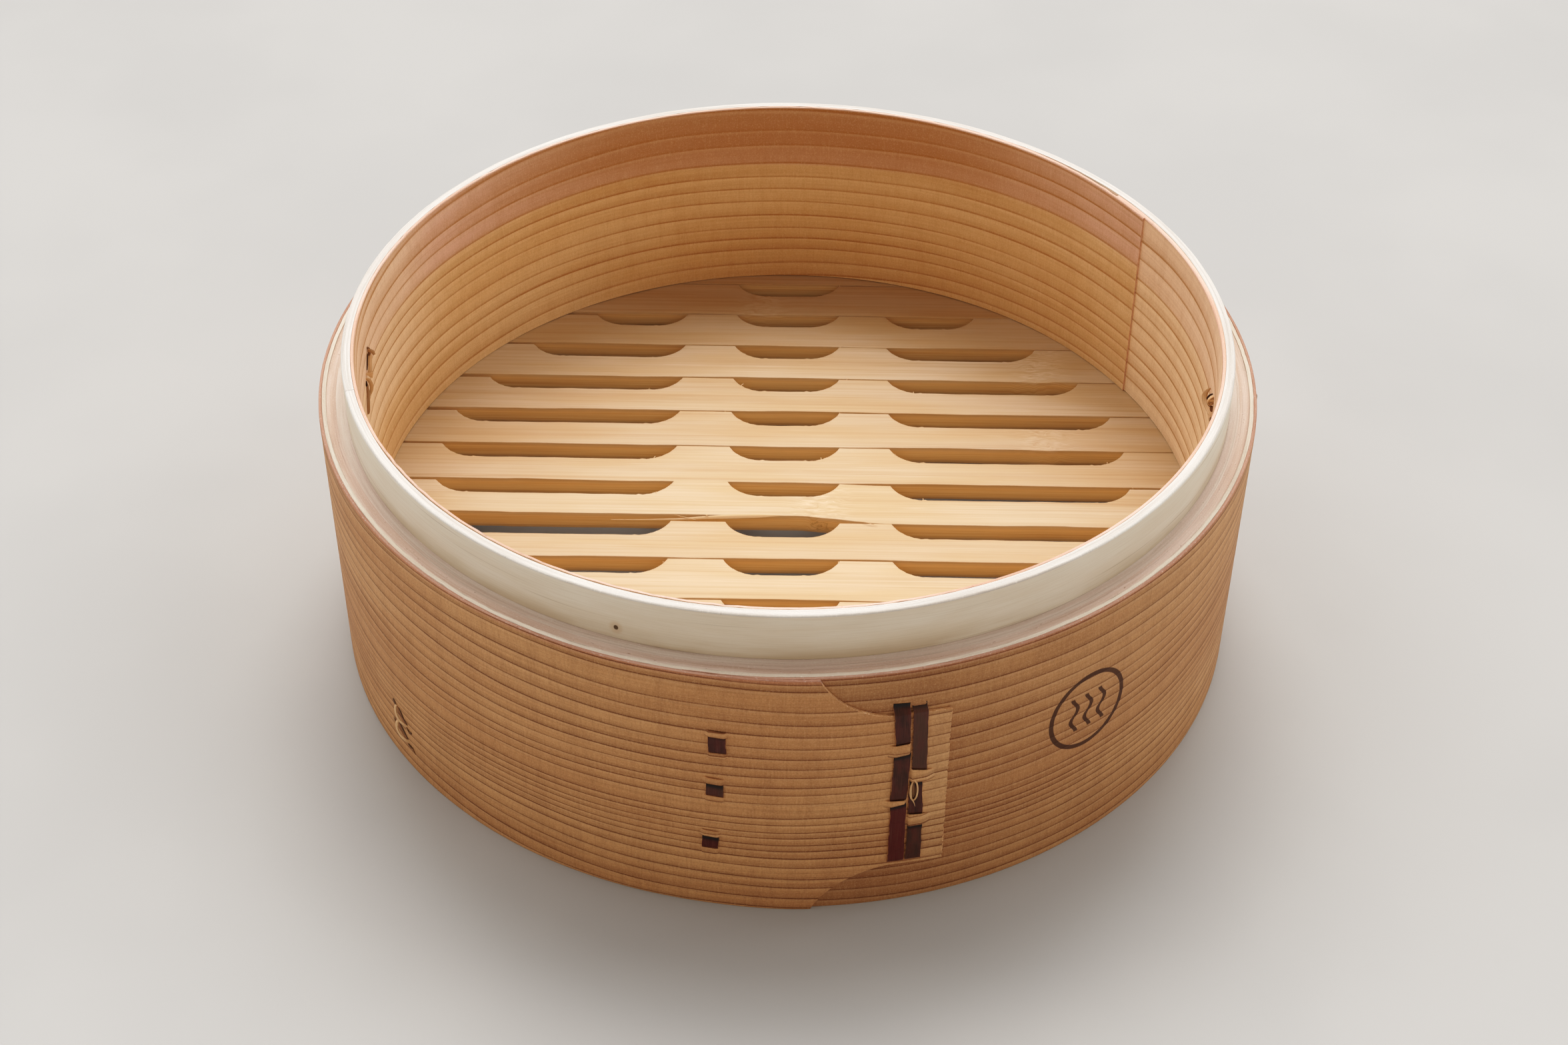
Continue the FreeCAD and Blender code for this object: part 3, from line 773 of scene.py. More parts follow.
def plain_board(name, slot, materials, node, start, inner, outer, low, high, rows, rounds, rings, **more):
    """A hoop of even thickness whose ends meet in a butt joint at the angle start."""
    constants = {"inner": inner, "thick": outer - inner, "low": low, "high": high}
    return bent_board(
        name, slot, materials, [node], start=start, stations=more.pop("stations", ring_stations()),
        rows=rows, rounds=rounds, rings=rings, **{k: lambda s, v=v: v for k, v in constants.items()}, **more,
    )


def frayed(amount, dish=0.0):
    """A warp that roughens the top edge of a board, and may dish it."""
    rough = Waves((31, 11, 4.3, 1.7), (0.45 * amount, 0.35 * amount, 0.3 * amount, 0.2 * amount))

    def warp(along, z, radius, kinds):
        low, high = radius.min(), radius.max()
        across = (radius - low) / (high - low)
        top = np.isin(kinds, (TOP_OUTER, TOP, TOP_INNER))
        return along, z + np.where(top, rough(along) - dish * (4 * across * (1 - across)), 0), radius

    return warp


def build_wall():
    build_outer_hoop()
    edge = ring_stations(1.6)
    plain_board(
        "veneer_hoop_strip", "white_veneer", ("veneer_edge", "veneer_edge"), "veneer_hoop", 62.0,
        CORE_RADIUS, VENEER_RADIUS, VENEER_FOOT, VENEER_TOP - 0.2, (4, 4, 4), (0.25, 0.06, 0.1),
        Rings(VENEER_TOP, (3.0, 4.0, 5.0)), stations=edge, warp=frayed(0.17),
    )
    plain_board(
        "core_hoop_outer_board", "core_wood", ("core_pink", "core_pink"), "core_hoop_outer", 118.0,
        CORE_MIDDLE, CORE_RADIUS, 0.0, LEDGE, (6, 6, 9), (0.06, 0.06, 0.25),
        Rings(LEDGE, (3.0, 4.0, 5.0)), stations=edge, warp=frayed(0.07, 0.08),
    )
    build_inner_core()
    plain_board(
        "collar_hoop_board", "collar_wood", ("collar", "white_edge"), "collar_hoop", COLLAR_JOINT,
        COLLAR_RADIUS - COLLAR_THICKNESS, COLLAR_RADIUS, LEDGE, COLLAR_TOP, (24, 4, 8), (0.7, 0.06, 0.02),
        Rings(COLLAR_TOP + 1, (2.6, 3.1, 2.4, 2.9, 3.3), spread=0.1), relief=0.0,
        stations=ring_stations(2.0, 0.015), warp=frayed(0.05),
    )
    build_lining()
    plain_board(
        "support_ring_board", "core_wood", ("core_pale", "core_pale"), "support_ring", 40.0,
        SUPPORT_INNER, SUPPORT_RADIUS, SUPPORT_FOOT, FLOOR_FOOT, (10, 14, 8), (0.3, 0.3, 0.6),
        Rings(FLOOR_FOOT, (2.5, 3.0, 2.2, 3.4)), relief=0.02,
    )


def build_inner_core():
    """The inner ledge board, shaved thinner at its foot, with the collar's seat behind it."""
    seat, socket = COLLAR_RADIUS - COLLAR_STEP, COLLAR_RADIUS + SOCKET_CLEARANCE
    rings = Rings(LEDGE, (3.0, 4.0, 5.0))
    rough = frayed(0.05, 0.16)

    def shave(along, z, radius, kinds):
        along, z, radius = rough(along, z, radius, kinds)
        shaved = (radius < CORE_MIDDLE - 0.6) & (z < COLLAR_FOOT)
        lead_in = 0.5 * smoothstep(0.8, 0.0, z)
        return along, z, radius + np.where(shaved, socket - seat + lead_in, 0)

    plain_board(
        "core_hoop_inner_board", "core_wood", ("core_pale", "core_pale"), "core_hoop_inner", 74.0,
        seat, CORE_MIDDLE, 0.0, LEDGE, (6, 60, 10), (0.06, 0.1, 0.2), rings,
        stations=ring_stations(1.6), warp=shave,
    )


LINING_START, LINING_LAP, LINING_OVERRUN = 28.6, 0.5, 14.0
# Angles between which the lining has sprung away from the collar: it opens over two, closes over two.
LINING_GAP = (206, 212, 272, 250)


def lining_overlap(s):
    """1 where the lining starts, over its own end, and 0 further on."""
    return 1 - smoothstep(0, 60, s)


def lining_warp(along, z, radius, kinds):
    """A rough top and foot, a gap where the lining has sprung away, and a thinner rim where it lies alone."""
    rough = 0.10 * np.sin(along * 0.9) * np.sin(along * 0.23 + 1) + 0.05 * np.sin(along * 3.1)
    foot = 0.16 * np.abs(np.sin(along * 0.55) * np.sin(along * 0.17)) + 0.05 * np.abs(np.sin(along * 2.3))
    z = z + np.where(kinds == TOP, rough, 0) + np.where(kinds >= FOOT_INNER, foot, 0)
    theta = LINING_START + np.degrees(along / ARC_RADIUS)
    sprung = smoothstep(*LINING_GAP[:2], theta) * smoothstep(*LINING_GAP[2:], theta)
    gap = (0.01 + 0.24 * sprung) * smoothstep(66, 84, z)
    gap = gap + 0.05 * sprung * np.sin(along * 0.83) * np.sin(along * 0.19) * smoothstep(80, 86, z)
    alone = smoothstep(60, 120, along) * smoothstep(LAP_TURN - 30, LAP_TURN - 90, along)
    thin = 0.36 * alone * smoothstep(COLLAR_TOP - 5, COLLAR_TOP, z)
    radius = LINING_RADIUS - (LINING_RADIUS - radius) * (1 - thin)
    return along, z, radius - np.where(kinds <= TOP, gap, 0)


def lining_light_and_shade(along, z):
    """Painted light and shade on the lining: darker on the right and rear, and much darker high at the rear,
    as painted shade; paler at the sides, as painted light, though less pale low on the left.
    """
    theta = LINING_START + np.degrees(along / ARC_RADIUS)
    rear = smoothstep(35, 70, theta) * smoothstep(160, 115, theta)
    sides = smoothstep(140, 170, theta)
    shade = 0.2 * smoothstep(150, 90, theta) + 1.2 * rear * smoothstep(62, 78, z)
    return shade - sides * (0.3 - 0.5 * smoothstep(55, 32, z) * smoothstep(330, 230, theta))


def build_lining():
    """One board round the inside. Its end at LINING_START lies over its own start."""
    reach = LAP_TURN + LINING_OVERRUN
    end_taper = (reach - 70, reach - LINING_OVERRUN)
    bent_board(
        "lining_hoop_board", "lining_cedar", ("lining", "lining_edge"), ["lining_hoop"],
        start=LINING_START,
        stations=np.unique(np.concatenate([even(0, 4, 1.0), even(4, reach, 3.0)]).round(4)),
        inner=lambda s: LINING_RADIUS - LINING_THICKNESS - LINING_LAP * lining_overlap(s),
        thick=lambda s: LINING_THICKNESS - 0.55 * lining_overlap(s) - 0.1 * smoothstep(*end_taper, s),
        low=lambda s: FLOOR_TOP + 0.02,
        high=lambda s: COLLAR_TOP,
        rows=(5, 190, 4),
        rounds=(0.05, 0.3, 0.1),
        rings=Rings(COLLAR_TOP, LINING_WIDTHS, (600, 260, 110, 47), (1.2, 0.5, 0.2, 0.07), spread=0.12),
        relief=0.07,
        warp=lining_warp,
        tone=lining_light_and_shade,
    )


# ---------------------------------------------------------------- floor of slats

NOTCH_DEPTH, NOTCH_ARC = 6.1, 10.0
SLAT_GAP, SLAT_EDGE, SLAT_FOOT_EDGE = 0.12, 0.18, 0.12
# The notches leave tabs between these x, and end at the sides at SIDE_ENDS or at a margin from the wall.
TABS = ((-30.9, -16.3), (14.3, 28.2))
SIDE_ENDS, SIDE_MARGINS = (-96.4, 93.4), (8.6, 12.4)
SHORTEST_NOTCH = 2.2 * NOTCH_ARC
BOWED, NARROW = "slat_08", "slat_07"
# x of the joints of the cane that show.
CANE_JOINTS = {"slat_14": -8.5, "slat_12": 72.5, "slat_10": 72.0, "slat_08": 9.0, "slat_06": -88.0}


def chord(y):
    """Half the width of the floor at y."""
    return np.sqrt(np.maximum(FLOOR_RADIUS**2 - np.asarray(y, float) ** 2, 0))


def notch_spans(back):
    """Left and right ends of the notches in the back edge of a slat."""
    half = float(chord(back))
    spans = [(TABS[0][1], TABS[1][0])]
    left, right = max(SIDE_ENDS[0], SIDE_MARGINS[0] - half), min(SIDE_ENDS[1], half - SIDE_MARGINS[1])
    if left < TABS[0][0] - SHORTEST_NOTCH:
        spans.append((left, TABS[0][0]))
    if right > TABS[1][1] + SHORTEST_NOTCH:
        spans.append((TABS[1][1], right))
    return spans


def notch_depth(x, left, right):
    """Depth of a notch at x: flat, with an arc at each end."""
    inward = np.minimum(x - left, right - x)
    reach = NOTCH_ARC * math.sin(math.acos(1 - NOTCH_DEPTH / NOTCH_ARC))
    rise = NOTCH_ARC - np.sqrt(np.maximum(NOTCH_ARC**2 - np.clip(reach - inward, 0, reach) ** 2, 0))
    return np.where(inward > 0, NOTCH_DEPTH - rise, 0.0)


def slat_bow(name, x):
    """The one slat that is crooked at its joint."""
    return 1.9 - 3.0 * smoothstep(2, 28, x) if name == BOWED else 0.0 * x


def slat_stations(front, back, spans):
    """Places along a slat for its cross-sections: closer in the notches and at the round wall."""
    reach = float(chord(np.clip(0, front, back)))
    xs = [even(-reach + 0.05, reach - 0.05, 2.4)]
    for y in (front, back):
        end = float(chord(y))
        xs += [even(end - 0.4, end + 0.4, 0.4), even(-end - 0.4, -end + 0.4, 0.4)]
    xs += [side * chord(even(front, back, 1.6)) for side in (-1, 1)]
    for left, right in spans:
        xs += [even(left - 0.02, left + 10, 0.6), even(right - 10, right + 0.02, 0.6)]
        xs += [[left + 0.02, right - 0.02]]
    xs = np.unique(np.concatenate(xs).round(3))
    return xs[(xs > -reach) & (xs < reach)]


def slat_edges(name, number, x, spans, front, back):
    """Front and back edges of a slat at the stations x."""
    circle = chord(x)
    near, far = np.maximum(front, -circle), np.minimum(back, circle)
    for left, right in spans:
        within = (x > left) & (x < right)
        far = far + within * (0.05 * np.sin(7.3 * x + number) + 0.04 * np.sin(3.1 * x))
        nick = 0.35 * (bump(x, left + 9.3, 0.5) + bump(x, right - 9.3, 0.5)) * rng.uniform(0.2, 1)
        far = far - notch_depth(x, left, right) + nick * within
    if len(spans) > 1:
        short = 0.5 + 0.6 * abs(math.sin(2.1 * number))
        far = np.where(x < spans[1][0] + 5, np.minimum(far, back - short), far)
    bow = slat_bow(name, x)
    wave = Waves((170, 61, 19), (0.16, 0.10, 0.04))
    near = near + SLAT_GAP + bow + np.where(np.abs(x) < circle - 4, wave(x), 0)
    far = far - SLAT_GAP + 0.25 * bow - (0.6 if name == NARROW else 0)
    return near, np.maximum(far, near + 0.3)


def slat_section(x, near, far, low, high, swell):
    """Rounded cross-sections of a slat: y, z, and 1 on its sawn sides."""
    depth = far - near
    corner, under = np.minimum(SLAT_EDGE, depth / 4), np.minimum(SLAT_FOOT_EDGE, depth / 4)
    turn = np.radians(np.array([0, 30, 60, 90]))[None, :]
    opening, closing = 1 - np.sin(turn), 1 - np.cos(turn)
    crown = Waves((90, 33, 12), (0.07, 0.05, 0.02))(x)[:, None]
    top = high - 0.05 + crown * 0.6
    inner = np.linspace(0, 1, 9)[None, 1:-1]
    sides = np.array([0.25, 0.5, 0.75])[None, :]
    near_y = near - swell
    flat = corner + inner * (depth + swell - 2 * corner)
    wall = top - low - corner - under
    parts = [
        (near_y + corner * opening[:, ::-1], top - corner * closing[:, ::-1]),
        (near_y + flat, top - 0.10 * (2 * inner - 1) ** 2),
        (far - corner * opening, top - corner * closing),
        (far + 0 * sides, top - corner - sides * wall),
        (far - under * closing, low + under * opening),
        (far - flat, low + 0 * flat),
        (near_y + under * closing[:, ::-1], low + under * opening[:, ::-1]),
        (near_y - 0.10 * np.sin(np.pi * sides), low + under + sides * wall),
    ]
    parts = [np.broadcast_arrays(*part) for part in parts]
    y, z = (np.concatenate([part[axis] for part in parts], axis=1) for axis in (0, 1))
    sawn = np.concatenate([np.full(part[0].shape[1], number in (3, 7)) for number, part in enumerate(parts)])
    return y, z, sawn


def build_slat(name, number, end_piece):
    _, (front, back), (low, high) = span(name)
    spans = [] if end_piece else notch_spans(back)
    x = slat_stations(front, back, spans)
    near, far = (edge[:, None] for edge in slat_edges(name, number, x, spans, front, back))
    joint = CANE_JOINTS.get(name, float(rng.uniform(140, 300)))
    y, z, sawn = slat_section(x, near, far, low, high, 0.28 * bump(x, joint, 3.5)[:, None])
    # A random tone for each slat, plus 0.7 of painted shade on the rear slats, where the rear wall's shadow
    # falls.
    shade = rng.uniform(0, 0.5) + 0.7 * float(smoothstep(11.5, 14.5, number))
    xx = np.repeat(x[:, None], y.shape[1], axis=1)
    above_knot = z - (low + high) / 2 + 0.2 + np.where(y < near + 0.6, 0, 9) + (0 if name == BOWED else 99)
    cane, knot = triples(xx - joint, shade, number * 3.7), triples(xx - joint, sawn, above_knot)
    lofts = [(triples(xx, y, z), {"cane": cane, "knot": knot})]
    return joined_lofts(f"{name}_cane", "slat_bamboo", "bamboo", [name], lofts)


def build_splinter(front, top):
    """A long sliver that has lifted off the front edge of the crooked slat, and short hairs beside it."""
    places = (-47, -38, -29, -22, -14, -7, -1.5)
    out, down = (1.7, 1.6, 1.6, 1.1, 0.6, 0.3, 0.0), (0.95, 0.85, 0.5, 0.3, 0.2, 0.12, 0.06)
    hairs = (
        ((19, 0.2, 0), (21.5, -0.5, 0.5), (24.5, -1.3, 0.2)),
        ((-30, -0.3, -0.1), (-26.5, -1.5, -0.1), (-24, -2.3, -0.2)),
        ((-21, -0.2, -0.1), (-21.6, -0.6, 0.3), (-20.8, -1.0, 0)),
    )

    def beside(x, y, z):
        return (x, front + SLAT_GAP + float(slat_bow(BOWED, np.array(float(x)))) + y, top + z)

    knots = [beside(x, -o, -d) for x, o, d in zip(places, out, down)]
    sliver = strand(knots, 1.2, 0.3, 60, facing=(0, -0.6, 0.8), widths=(0.08, 0.16, 0.35, 0.7, 1.0, 0.8, 0.2))
    strands = [sliver]
    for hair in hairs:
        knots = [beside(*place) for place in hair]
        strands.append(strand(knots, 0.16, 0.12, 16, facing=(0, -0.6, 0.8), taper=0.8))
    make_fibres("slat_08_splinter", strands, 120.0)


def make_fibres(name, strands, seed):
    """Loose bamboo fibres from (points, wood) strands, away from any joint or knot."""
    lofts = []
    for points, wood in strands:
        length = wood[..., 0]
        cane, knot = triples(length + 100, 0.1, seed), triples(0 * length + 99, 0.3, 99)
        lofts.append((points, {"cane": cane, "knot": knot}))
    return joined_lofts(name, "slat_bamboo", "bamboo", None, lofts, sharp=60)


def build_fuzz(names):
    """Short loose fibres left by the saw in the corners of some notches."""
    strands = []
    for name in names[1:-1]:
        _, (front, back), (_, top) = span(name)
        places = [(x, side, ends) for ends in notch_spans(back) for x, side in zip(ends, (1, -1))]
        for x, side, ends in places:
            if rng.random() < 0.6 and x > TABS[0][0] - 1 and name != NARROW:
                x0 = x + side * rng.uniform(-3, 9.5)
                y0 = back - SLAT_GAP - float(notch_depth(np.array(x0), *ends)) - 0.05
                reach, lift, lean = rng.uniform(0.3, 1.1), rng.uniform(0.02, 0.2), rng.uniform(-0.6, 0.9)
                middle = (x0 + lean * reach / 2, y0 + reach * 0.3, top + lift * 0.6)
                tip = (x0 + lean * reach, y0 + reach * 0.6, top + lift)
                knots = [(x0, y0 - 0.3, top - 0.1), middle, tip]
                strands.append(strand(knots, rng.uniform(0.1, 0.26), 0.08, 10, facing=(0, 0, 1), taper=0.9))
    make_fibres("slat_fuzz", strands, 60.0)


def build_floor():
    names = sorted(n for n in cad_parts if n.startswith("slat_"))
    for number, name in enumerate(names, 1):
        build_slat(name, number, end_piece=number in (1, len(names)))
    _, (front, _), (_, top) = span(BOWED)
    build_splinter(front, top)
    build_fuzz(names)


# ---------------------------------------------------------------- lacing and ties

# Corners of each stretch of lacing that shows, as (arc length, height): top left, top right, foot left,
# foot right.
LACE_LEFT = (
    ((25.6, 64.0), (29.5, 63.7), (26.3, 52.8), (29.7, 53.0)),
    ((26.1, 49.3), (30.0, 49.8), (25.6, 35.1), (29.5, 34.7)),
    ((25.8, 33.2), (29.5, 33.8), (25.6, 14.7), (29.6, 14.4)),
)
LACE_RIGHT = (
    ((30.0, 63.4), (33.5, 63.3), (30.4, 44.5), (34.0, 43.6)),
    ((30.1, 40.4), (33.0, 40.2), (29.9, 29.9), (33.6, 29.3)),
    ((30.1, 26.0), (33.6, 25.9), (29.8, 14.4), (33.7, 14.0)),
)
LACE_ROW = (
    ((-16.2, 56.0), (-12.1, 55.8), (-16.1, 51.0), (-12.0, 51.0)),
    ((-16.8, 41.0), (-12.9, 40.7), (-16.9, 37.1), (-12.7, 36.8)),
    ((-17.9, 23.6), (-14.0, 23.3), (-18.1, 19.5), (-14.2, 19.4)),
)
BARK_THICKNESS = 0.3
# Arc length, and lowest and highest z, of the small ring tied into the lacing.
TIE_FRONT = (31.0, 34.7, 41.0)
LACE_END = (62.4, 13.9)


def between(a, b, t):
    return a + (b - a) * t


def lace_base(z, place):
    """The surface under the lacing: the lapped end, or the layer below it past the ends of the columns."""
    top, foot = LACE_END
    under = np.maximum(smoothstep(top - 0.3, top + 1.1, z), smoothstep(foot + 0.5, foot - 0.5, z))
    on_row = place < 0
    return lap_surface(place) - np.where(on_row, 0, STRIP * under)


# Half a turn round the strip, as (across, rise, side), from the left rim over the face to the right rim, and
# then back underneath. Across is -1 to 1, rise is in thicknesses, and side is 1 on the raw sides.
LACE_FACE = ((-1, -0.18, 1), (-0.97, -0.02, 0.9), (-0.88, 0, 0.1), (-0.6, 0.02, 0), (-0.2, 0.04, 0))
LACE_BACK = ((1, -1, 1), (0.5, -1, 1), (0, -1, 1), (-0.5, -1, 1), (-1, -1, 1))


def build_lace(name, stretches, tones, weathered):
    """A column of bark strip. Each stretch comes out of one slit and dives into the next."""
    section = [*LACE_FACE, *[(-a, r, e) for a, r, e in LACE_FACE[::-1]], *LACE_BACK]
    across, rise, rim = np.array(section, float).T
    lofts = []
    for number, (top_left, top_right, foot_left, foot_right) in enumerate(stretches):
        height = (top_left[1] + top_right[1] - foot_left[1] - foot_right[1]) / 2
        reach = 1.1 / height
        ends = [even(-reach, 2 * reach, reach / 6), even(1 - 2 * reach, 1 + reach, reach / 6)]
        v = np.unique(np.concatenate([*ends, even(0, 1, 0.6 / height)]).round(5))[:, None]
        u = (across[None, :] + 1) / 2
        left = [between(top_left[i], foot_left[i], v) for i in (0, 1)]
        right = [between(top_right[i], foot_right[i], v) for i in (0, 1)]
        edge = Waves((6.1, 2.1), (0.05, 0.02), 0.0)
        place = between(left[0], right[0], u) + edge(left[1], 0) * (np.abs(across) > 0.8)
        z = between(left[1], right[1], u)
        dive = smoothstep(0.75, -0.45, np.minimum(v, 1 - v) * height) * 0.36
        swell = Waves((9.0, 3.3), (0.05, 0.03), 0.0)(z, 0)
        radius = lace_base(z, place) + 0.42 - dive + rise * BARK_THICKNESS + swell
        # from_slit sets the painted shadow below each slit; the top stretch starts 0.9 mm on, so its painted
        # shadow is shorter.
        from_slit = v * height + (0.9 if number == 0 else 0)
        wood, rings = triples(z, place, tones[number]), triples(from_slit, rim, weathered[number])
        points = polar(radius, math.radians(270) + place / ARC_RADIUS, z)
        lofts.append((points, {"wood": wood, "rings": rings}))
    return joined_lofts(f"{name}_bark", "cherry_bark", "bark", [name], lofts, sharp=50)


# Cross-section of a bridge from its lower to its upper edge and back underneath: share of its height, and
# how far it stands out.
BRIDGE_SECTION = (
    (0, -0.10), (0.05, -0.01), (0.2, 0), (0.4, 0.02), (0.6, 0.02), (0.8, 0), (0.95, -0.01), (1, -0.10),
    (1, -0.30), (0.95, -0.38), (0.5, -0.38), (0.05, -0.38), (0, -0.30),
)


def bridge(low_line, high_line, lift, ends, lip=False):
    """Wood beside a slit, that arches over the lacing. Lines are ((s, z), (s, z)), from left to right.

    ends are how far the slits run on past the lacing at the left and at the right. A lip lies on the single
    layer of the hoop, and rises at its lower edge only.
    """
    (l0, l1), (h0, h1) = low_line, high_line
    first, last = min(l0[0], h0[0]), max(l1[0], h1[0])
    start, end = first - ends[0], last + ends[1]
    s = even(start, end, 0.22)[:, None]
    rise = smoothstep(start + 0.05, first + 0.5, s) * smoothstep(end - 0.05, last - 0.6, s)

    def line(a, b):
        return between(a[1], b[1], np.clip((s - a[0]) / (b[0] - a[0]), -0.25, 1.2))

    cross, drop = np.array(BRIDGE_SECTION, float).T[:, None, :]
    low, high = line(l0, l1), line(h0, h1)
    z = low + cross * (high - low)
    base = HOOP_RADIUS if lip else lap_surface(s)
    tilt = 1 - 0.75 * cross if lip else 1.0
    radius = base - 0.04 + (lift + 0.04) * rise * tilt + drop
    wood_along = s + (0 if lip else LAP_TURN)
    phase, width = HOOP_RINGS(wood_along + 0 * z, z)
    # Painted shade: the bridge's lower edge gets 1.3 more tone, which darkens the wood there.
    shaded_lower_edge = np.arange(len(BRIDGE_SECTION)) < 2
    tone = strip_tone(wood_along + 0 * z, z) + 1.3 * shaded_lower_edge
    attributes = {"wood": triples(wood_along, z, tone), "rings": triples(phase, width, 0.0)}
    return polar(radius, math.radians(270) + s / ARC_RADIUS + 0 * z, z), attributes


def build_bridges():
    """The slit wood of the outer hoop: between the stretches of each column, and lips at the single ones."""
    lofts = []
    for column, ends in ((LACE_LEFT, (1.9, 0.2)), (LACE_RIGHT, (0.2, 2.6))):
        for above, below in zip(column, column[1:]):
            lofts.append(bridge(below[:2], above[2:], 0.72, ends))
        raised = [(s, z + 1.5) for s, z in column[0][:2]]
        lofts.append(bridge(column[0][:2], raised, 0.14, (0.7, 0.5), lip=True))
    for stretch in LACE_ROW:
        up = [(s, z + 1.9) for s, z in stretch[:2]]
        down = [(s, z - 1.7) for s, z in stretch[2:]]
        lofts.append(bridge(stretch[:2], up, 0.5, (1.2, 0.7)))
        lofts.append(bridge(down, stretch[2:], 0.42, (0.8, 0.5)))
    return joined_lofts("outer_hoop_bridges", "cedar_hoop", "cedar_hoop", ["outer_hoop"], lofts, sharp=50)


def smooth_path(knots, count):
    """A smooth curve through the knots, as a Catmull-Rom spline."""
    k = np.asarray(knots, float)
    k = np.vstack([2 * k[0] - k[1], k, 2 * k[-1] - k[-2]])
    t = np.linspace(0, len(k) - 3 - 1e-6, count)
    i, f = t.astype(int), (t % 1)[:, None]
    a, b, c, d = k[i], k[i + 1], k[i + 2], k[i + 3]
    return 0.5 * (2 * b + (c - a) * f + (2 * a - 5 * b + 4 * c - d) * f**2 + (3 * b - a - 3 * c + d) * f**3)


def strand(knots, width, thick, count=36, twist=0.0, taper=0.35, tone=0.0, facing=None, widths=None):
    """A flat fibre strand along a smooth curve. It faces away from the axis, or the way that facing says."""
    path = smooth_path(knots, count)
    along = np.gradient(path, axis=0)
    along /= np.linalg.norm(along, axis=1, keepdims=True)
    out = path * np.array([1, 1, 0]) if facing is None else np.tile(np.asarray(facing, float), (count, 1))
    out /= np.linalg.norm(out, axis=1, keepdims=True)
    side = np.cross(along, out)
    side /= np.linalg.norm(side, axis=1, keepdims=True)
    face = np.cross(side, along)
    t = np.linspace(0, 1, count)
    size = 1 - taper * (np.abs(2 * t - 1) ** 4)
    if widths is not None:
        size = np.interp(t, np.linspace(0, 1, len(widths)), widths)
    spin = (np.linspace(0, 1, 14, endpoint=False) * TURN)[None, :] + twist * t[:, None]
    ridge = 1 + 0.09 * np.cos(5 * spin + 3)
    offset = (np.cos(spin) * ridge * width / 2)[..., None] * side[:, None, :]
    offset = offset + (np.sin(spin) * ridge * thick / 2)[..., None] * face[:, None, :]
    points = path[:, None, :] + offset * size[:, None, None]
    length = np.concatenate([[0], np.cumsum(np.linalg.norm(np.diff(path, axis=0), axis=1))])
    wood = np.stack(np.broadcast_arrays(length[:, None], spin * width / 2, np.array(tone)), axis=-1)
    return points, wood


def build_tie(node, strands):
    """A tie of one or more strands. Each is its width, thickness and looks, then its knots.

    Knots are (degrees, height, radius).
    """
    lofts = []
    for width, thick, looks, *knots in strands:
        places = [polar(radius, math.radians(angle), height) for angle, height, radius in knots]
        points, wood = strand(places, width, thick, **looks)
        lofts.append((points, {"wood": wood}))
    return joined_lofts(f"{node}_fibre", "tie_fibre", "fibre", [node], lofts, sharp=60)


def shifted(strands, angle, height, radius, tall=1.0):
    """Strands whose knots are offsets from a place on the wall."""
    return [
        (width, thick, looks, *[(angle + a, height + h * tall, radius + r) for a, h, r in knots])
        for width, thick, looks, *knots in strands
    ]


def ring_tie():
    """The oval ring of two strands in front, with one loose tail, and a dark filling. Heights are shares."""
    place, foot, top = TIE_FRONT
    left_widths = (0.5, 0.5, 0.75, 1.0, 1.0, 0.8, 0.55, 0.4, 0.1)
    strands = [
        (0.42, 0.42, dict(twist=2.0, tone=-0.25, count=48),
         (-0.05, 1.04, -0.3), (0.1, 0.98, 0.1), (0.3, 0.84, 0.25), (0.4, 0.6, 0.3), (0.4, 0.35, 0.3),
         (0.3, 0.13, 0.25), (0.08, 0, 0.15), (-0.04, -0.03, -0.2)),
        (0.58, 0.42, dict(twist=-1.0, tone=0.15, count=48, widths=left_widths),
         (0.06, 1.03, -0.3), (-0.08, 0.97, 0.05), (-0.27, 0.84, 0.2), (-0.37, 0.6, 0.25), (-0.36, 0.35, 0.25),
         (-0.24, 0.12, 0.2), (-0.04, -0.02, 0.2), (0.1, -0.15, 0.2), (0.24, -0.33, 0.3)),
        (1.1, 0.2, dict(tone=1.35), (0.0, 0.9, -0.15), (0.02, 0.5, -0.1), (0.02, 0.1, -0.15)),
        (0.4, 0.2, dict(tone=0.95), (-0.1, 0.8, -0.02), (-0.08, 0.5, 0.03), (-0.05, 0.25, -0.02)),
    ]
    outside = float(lap_surface(32.0)) + 0.5
    return shifted(strands, 270 + math.degrees(place / ARC_RADIUS), foot, outside, top - foot)


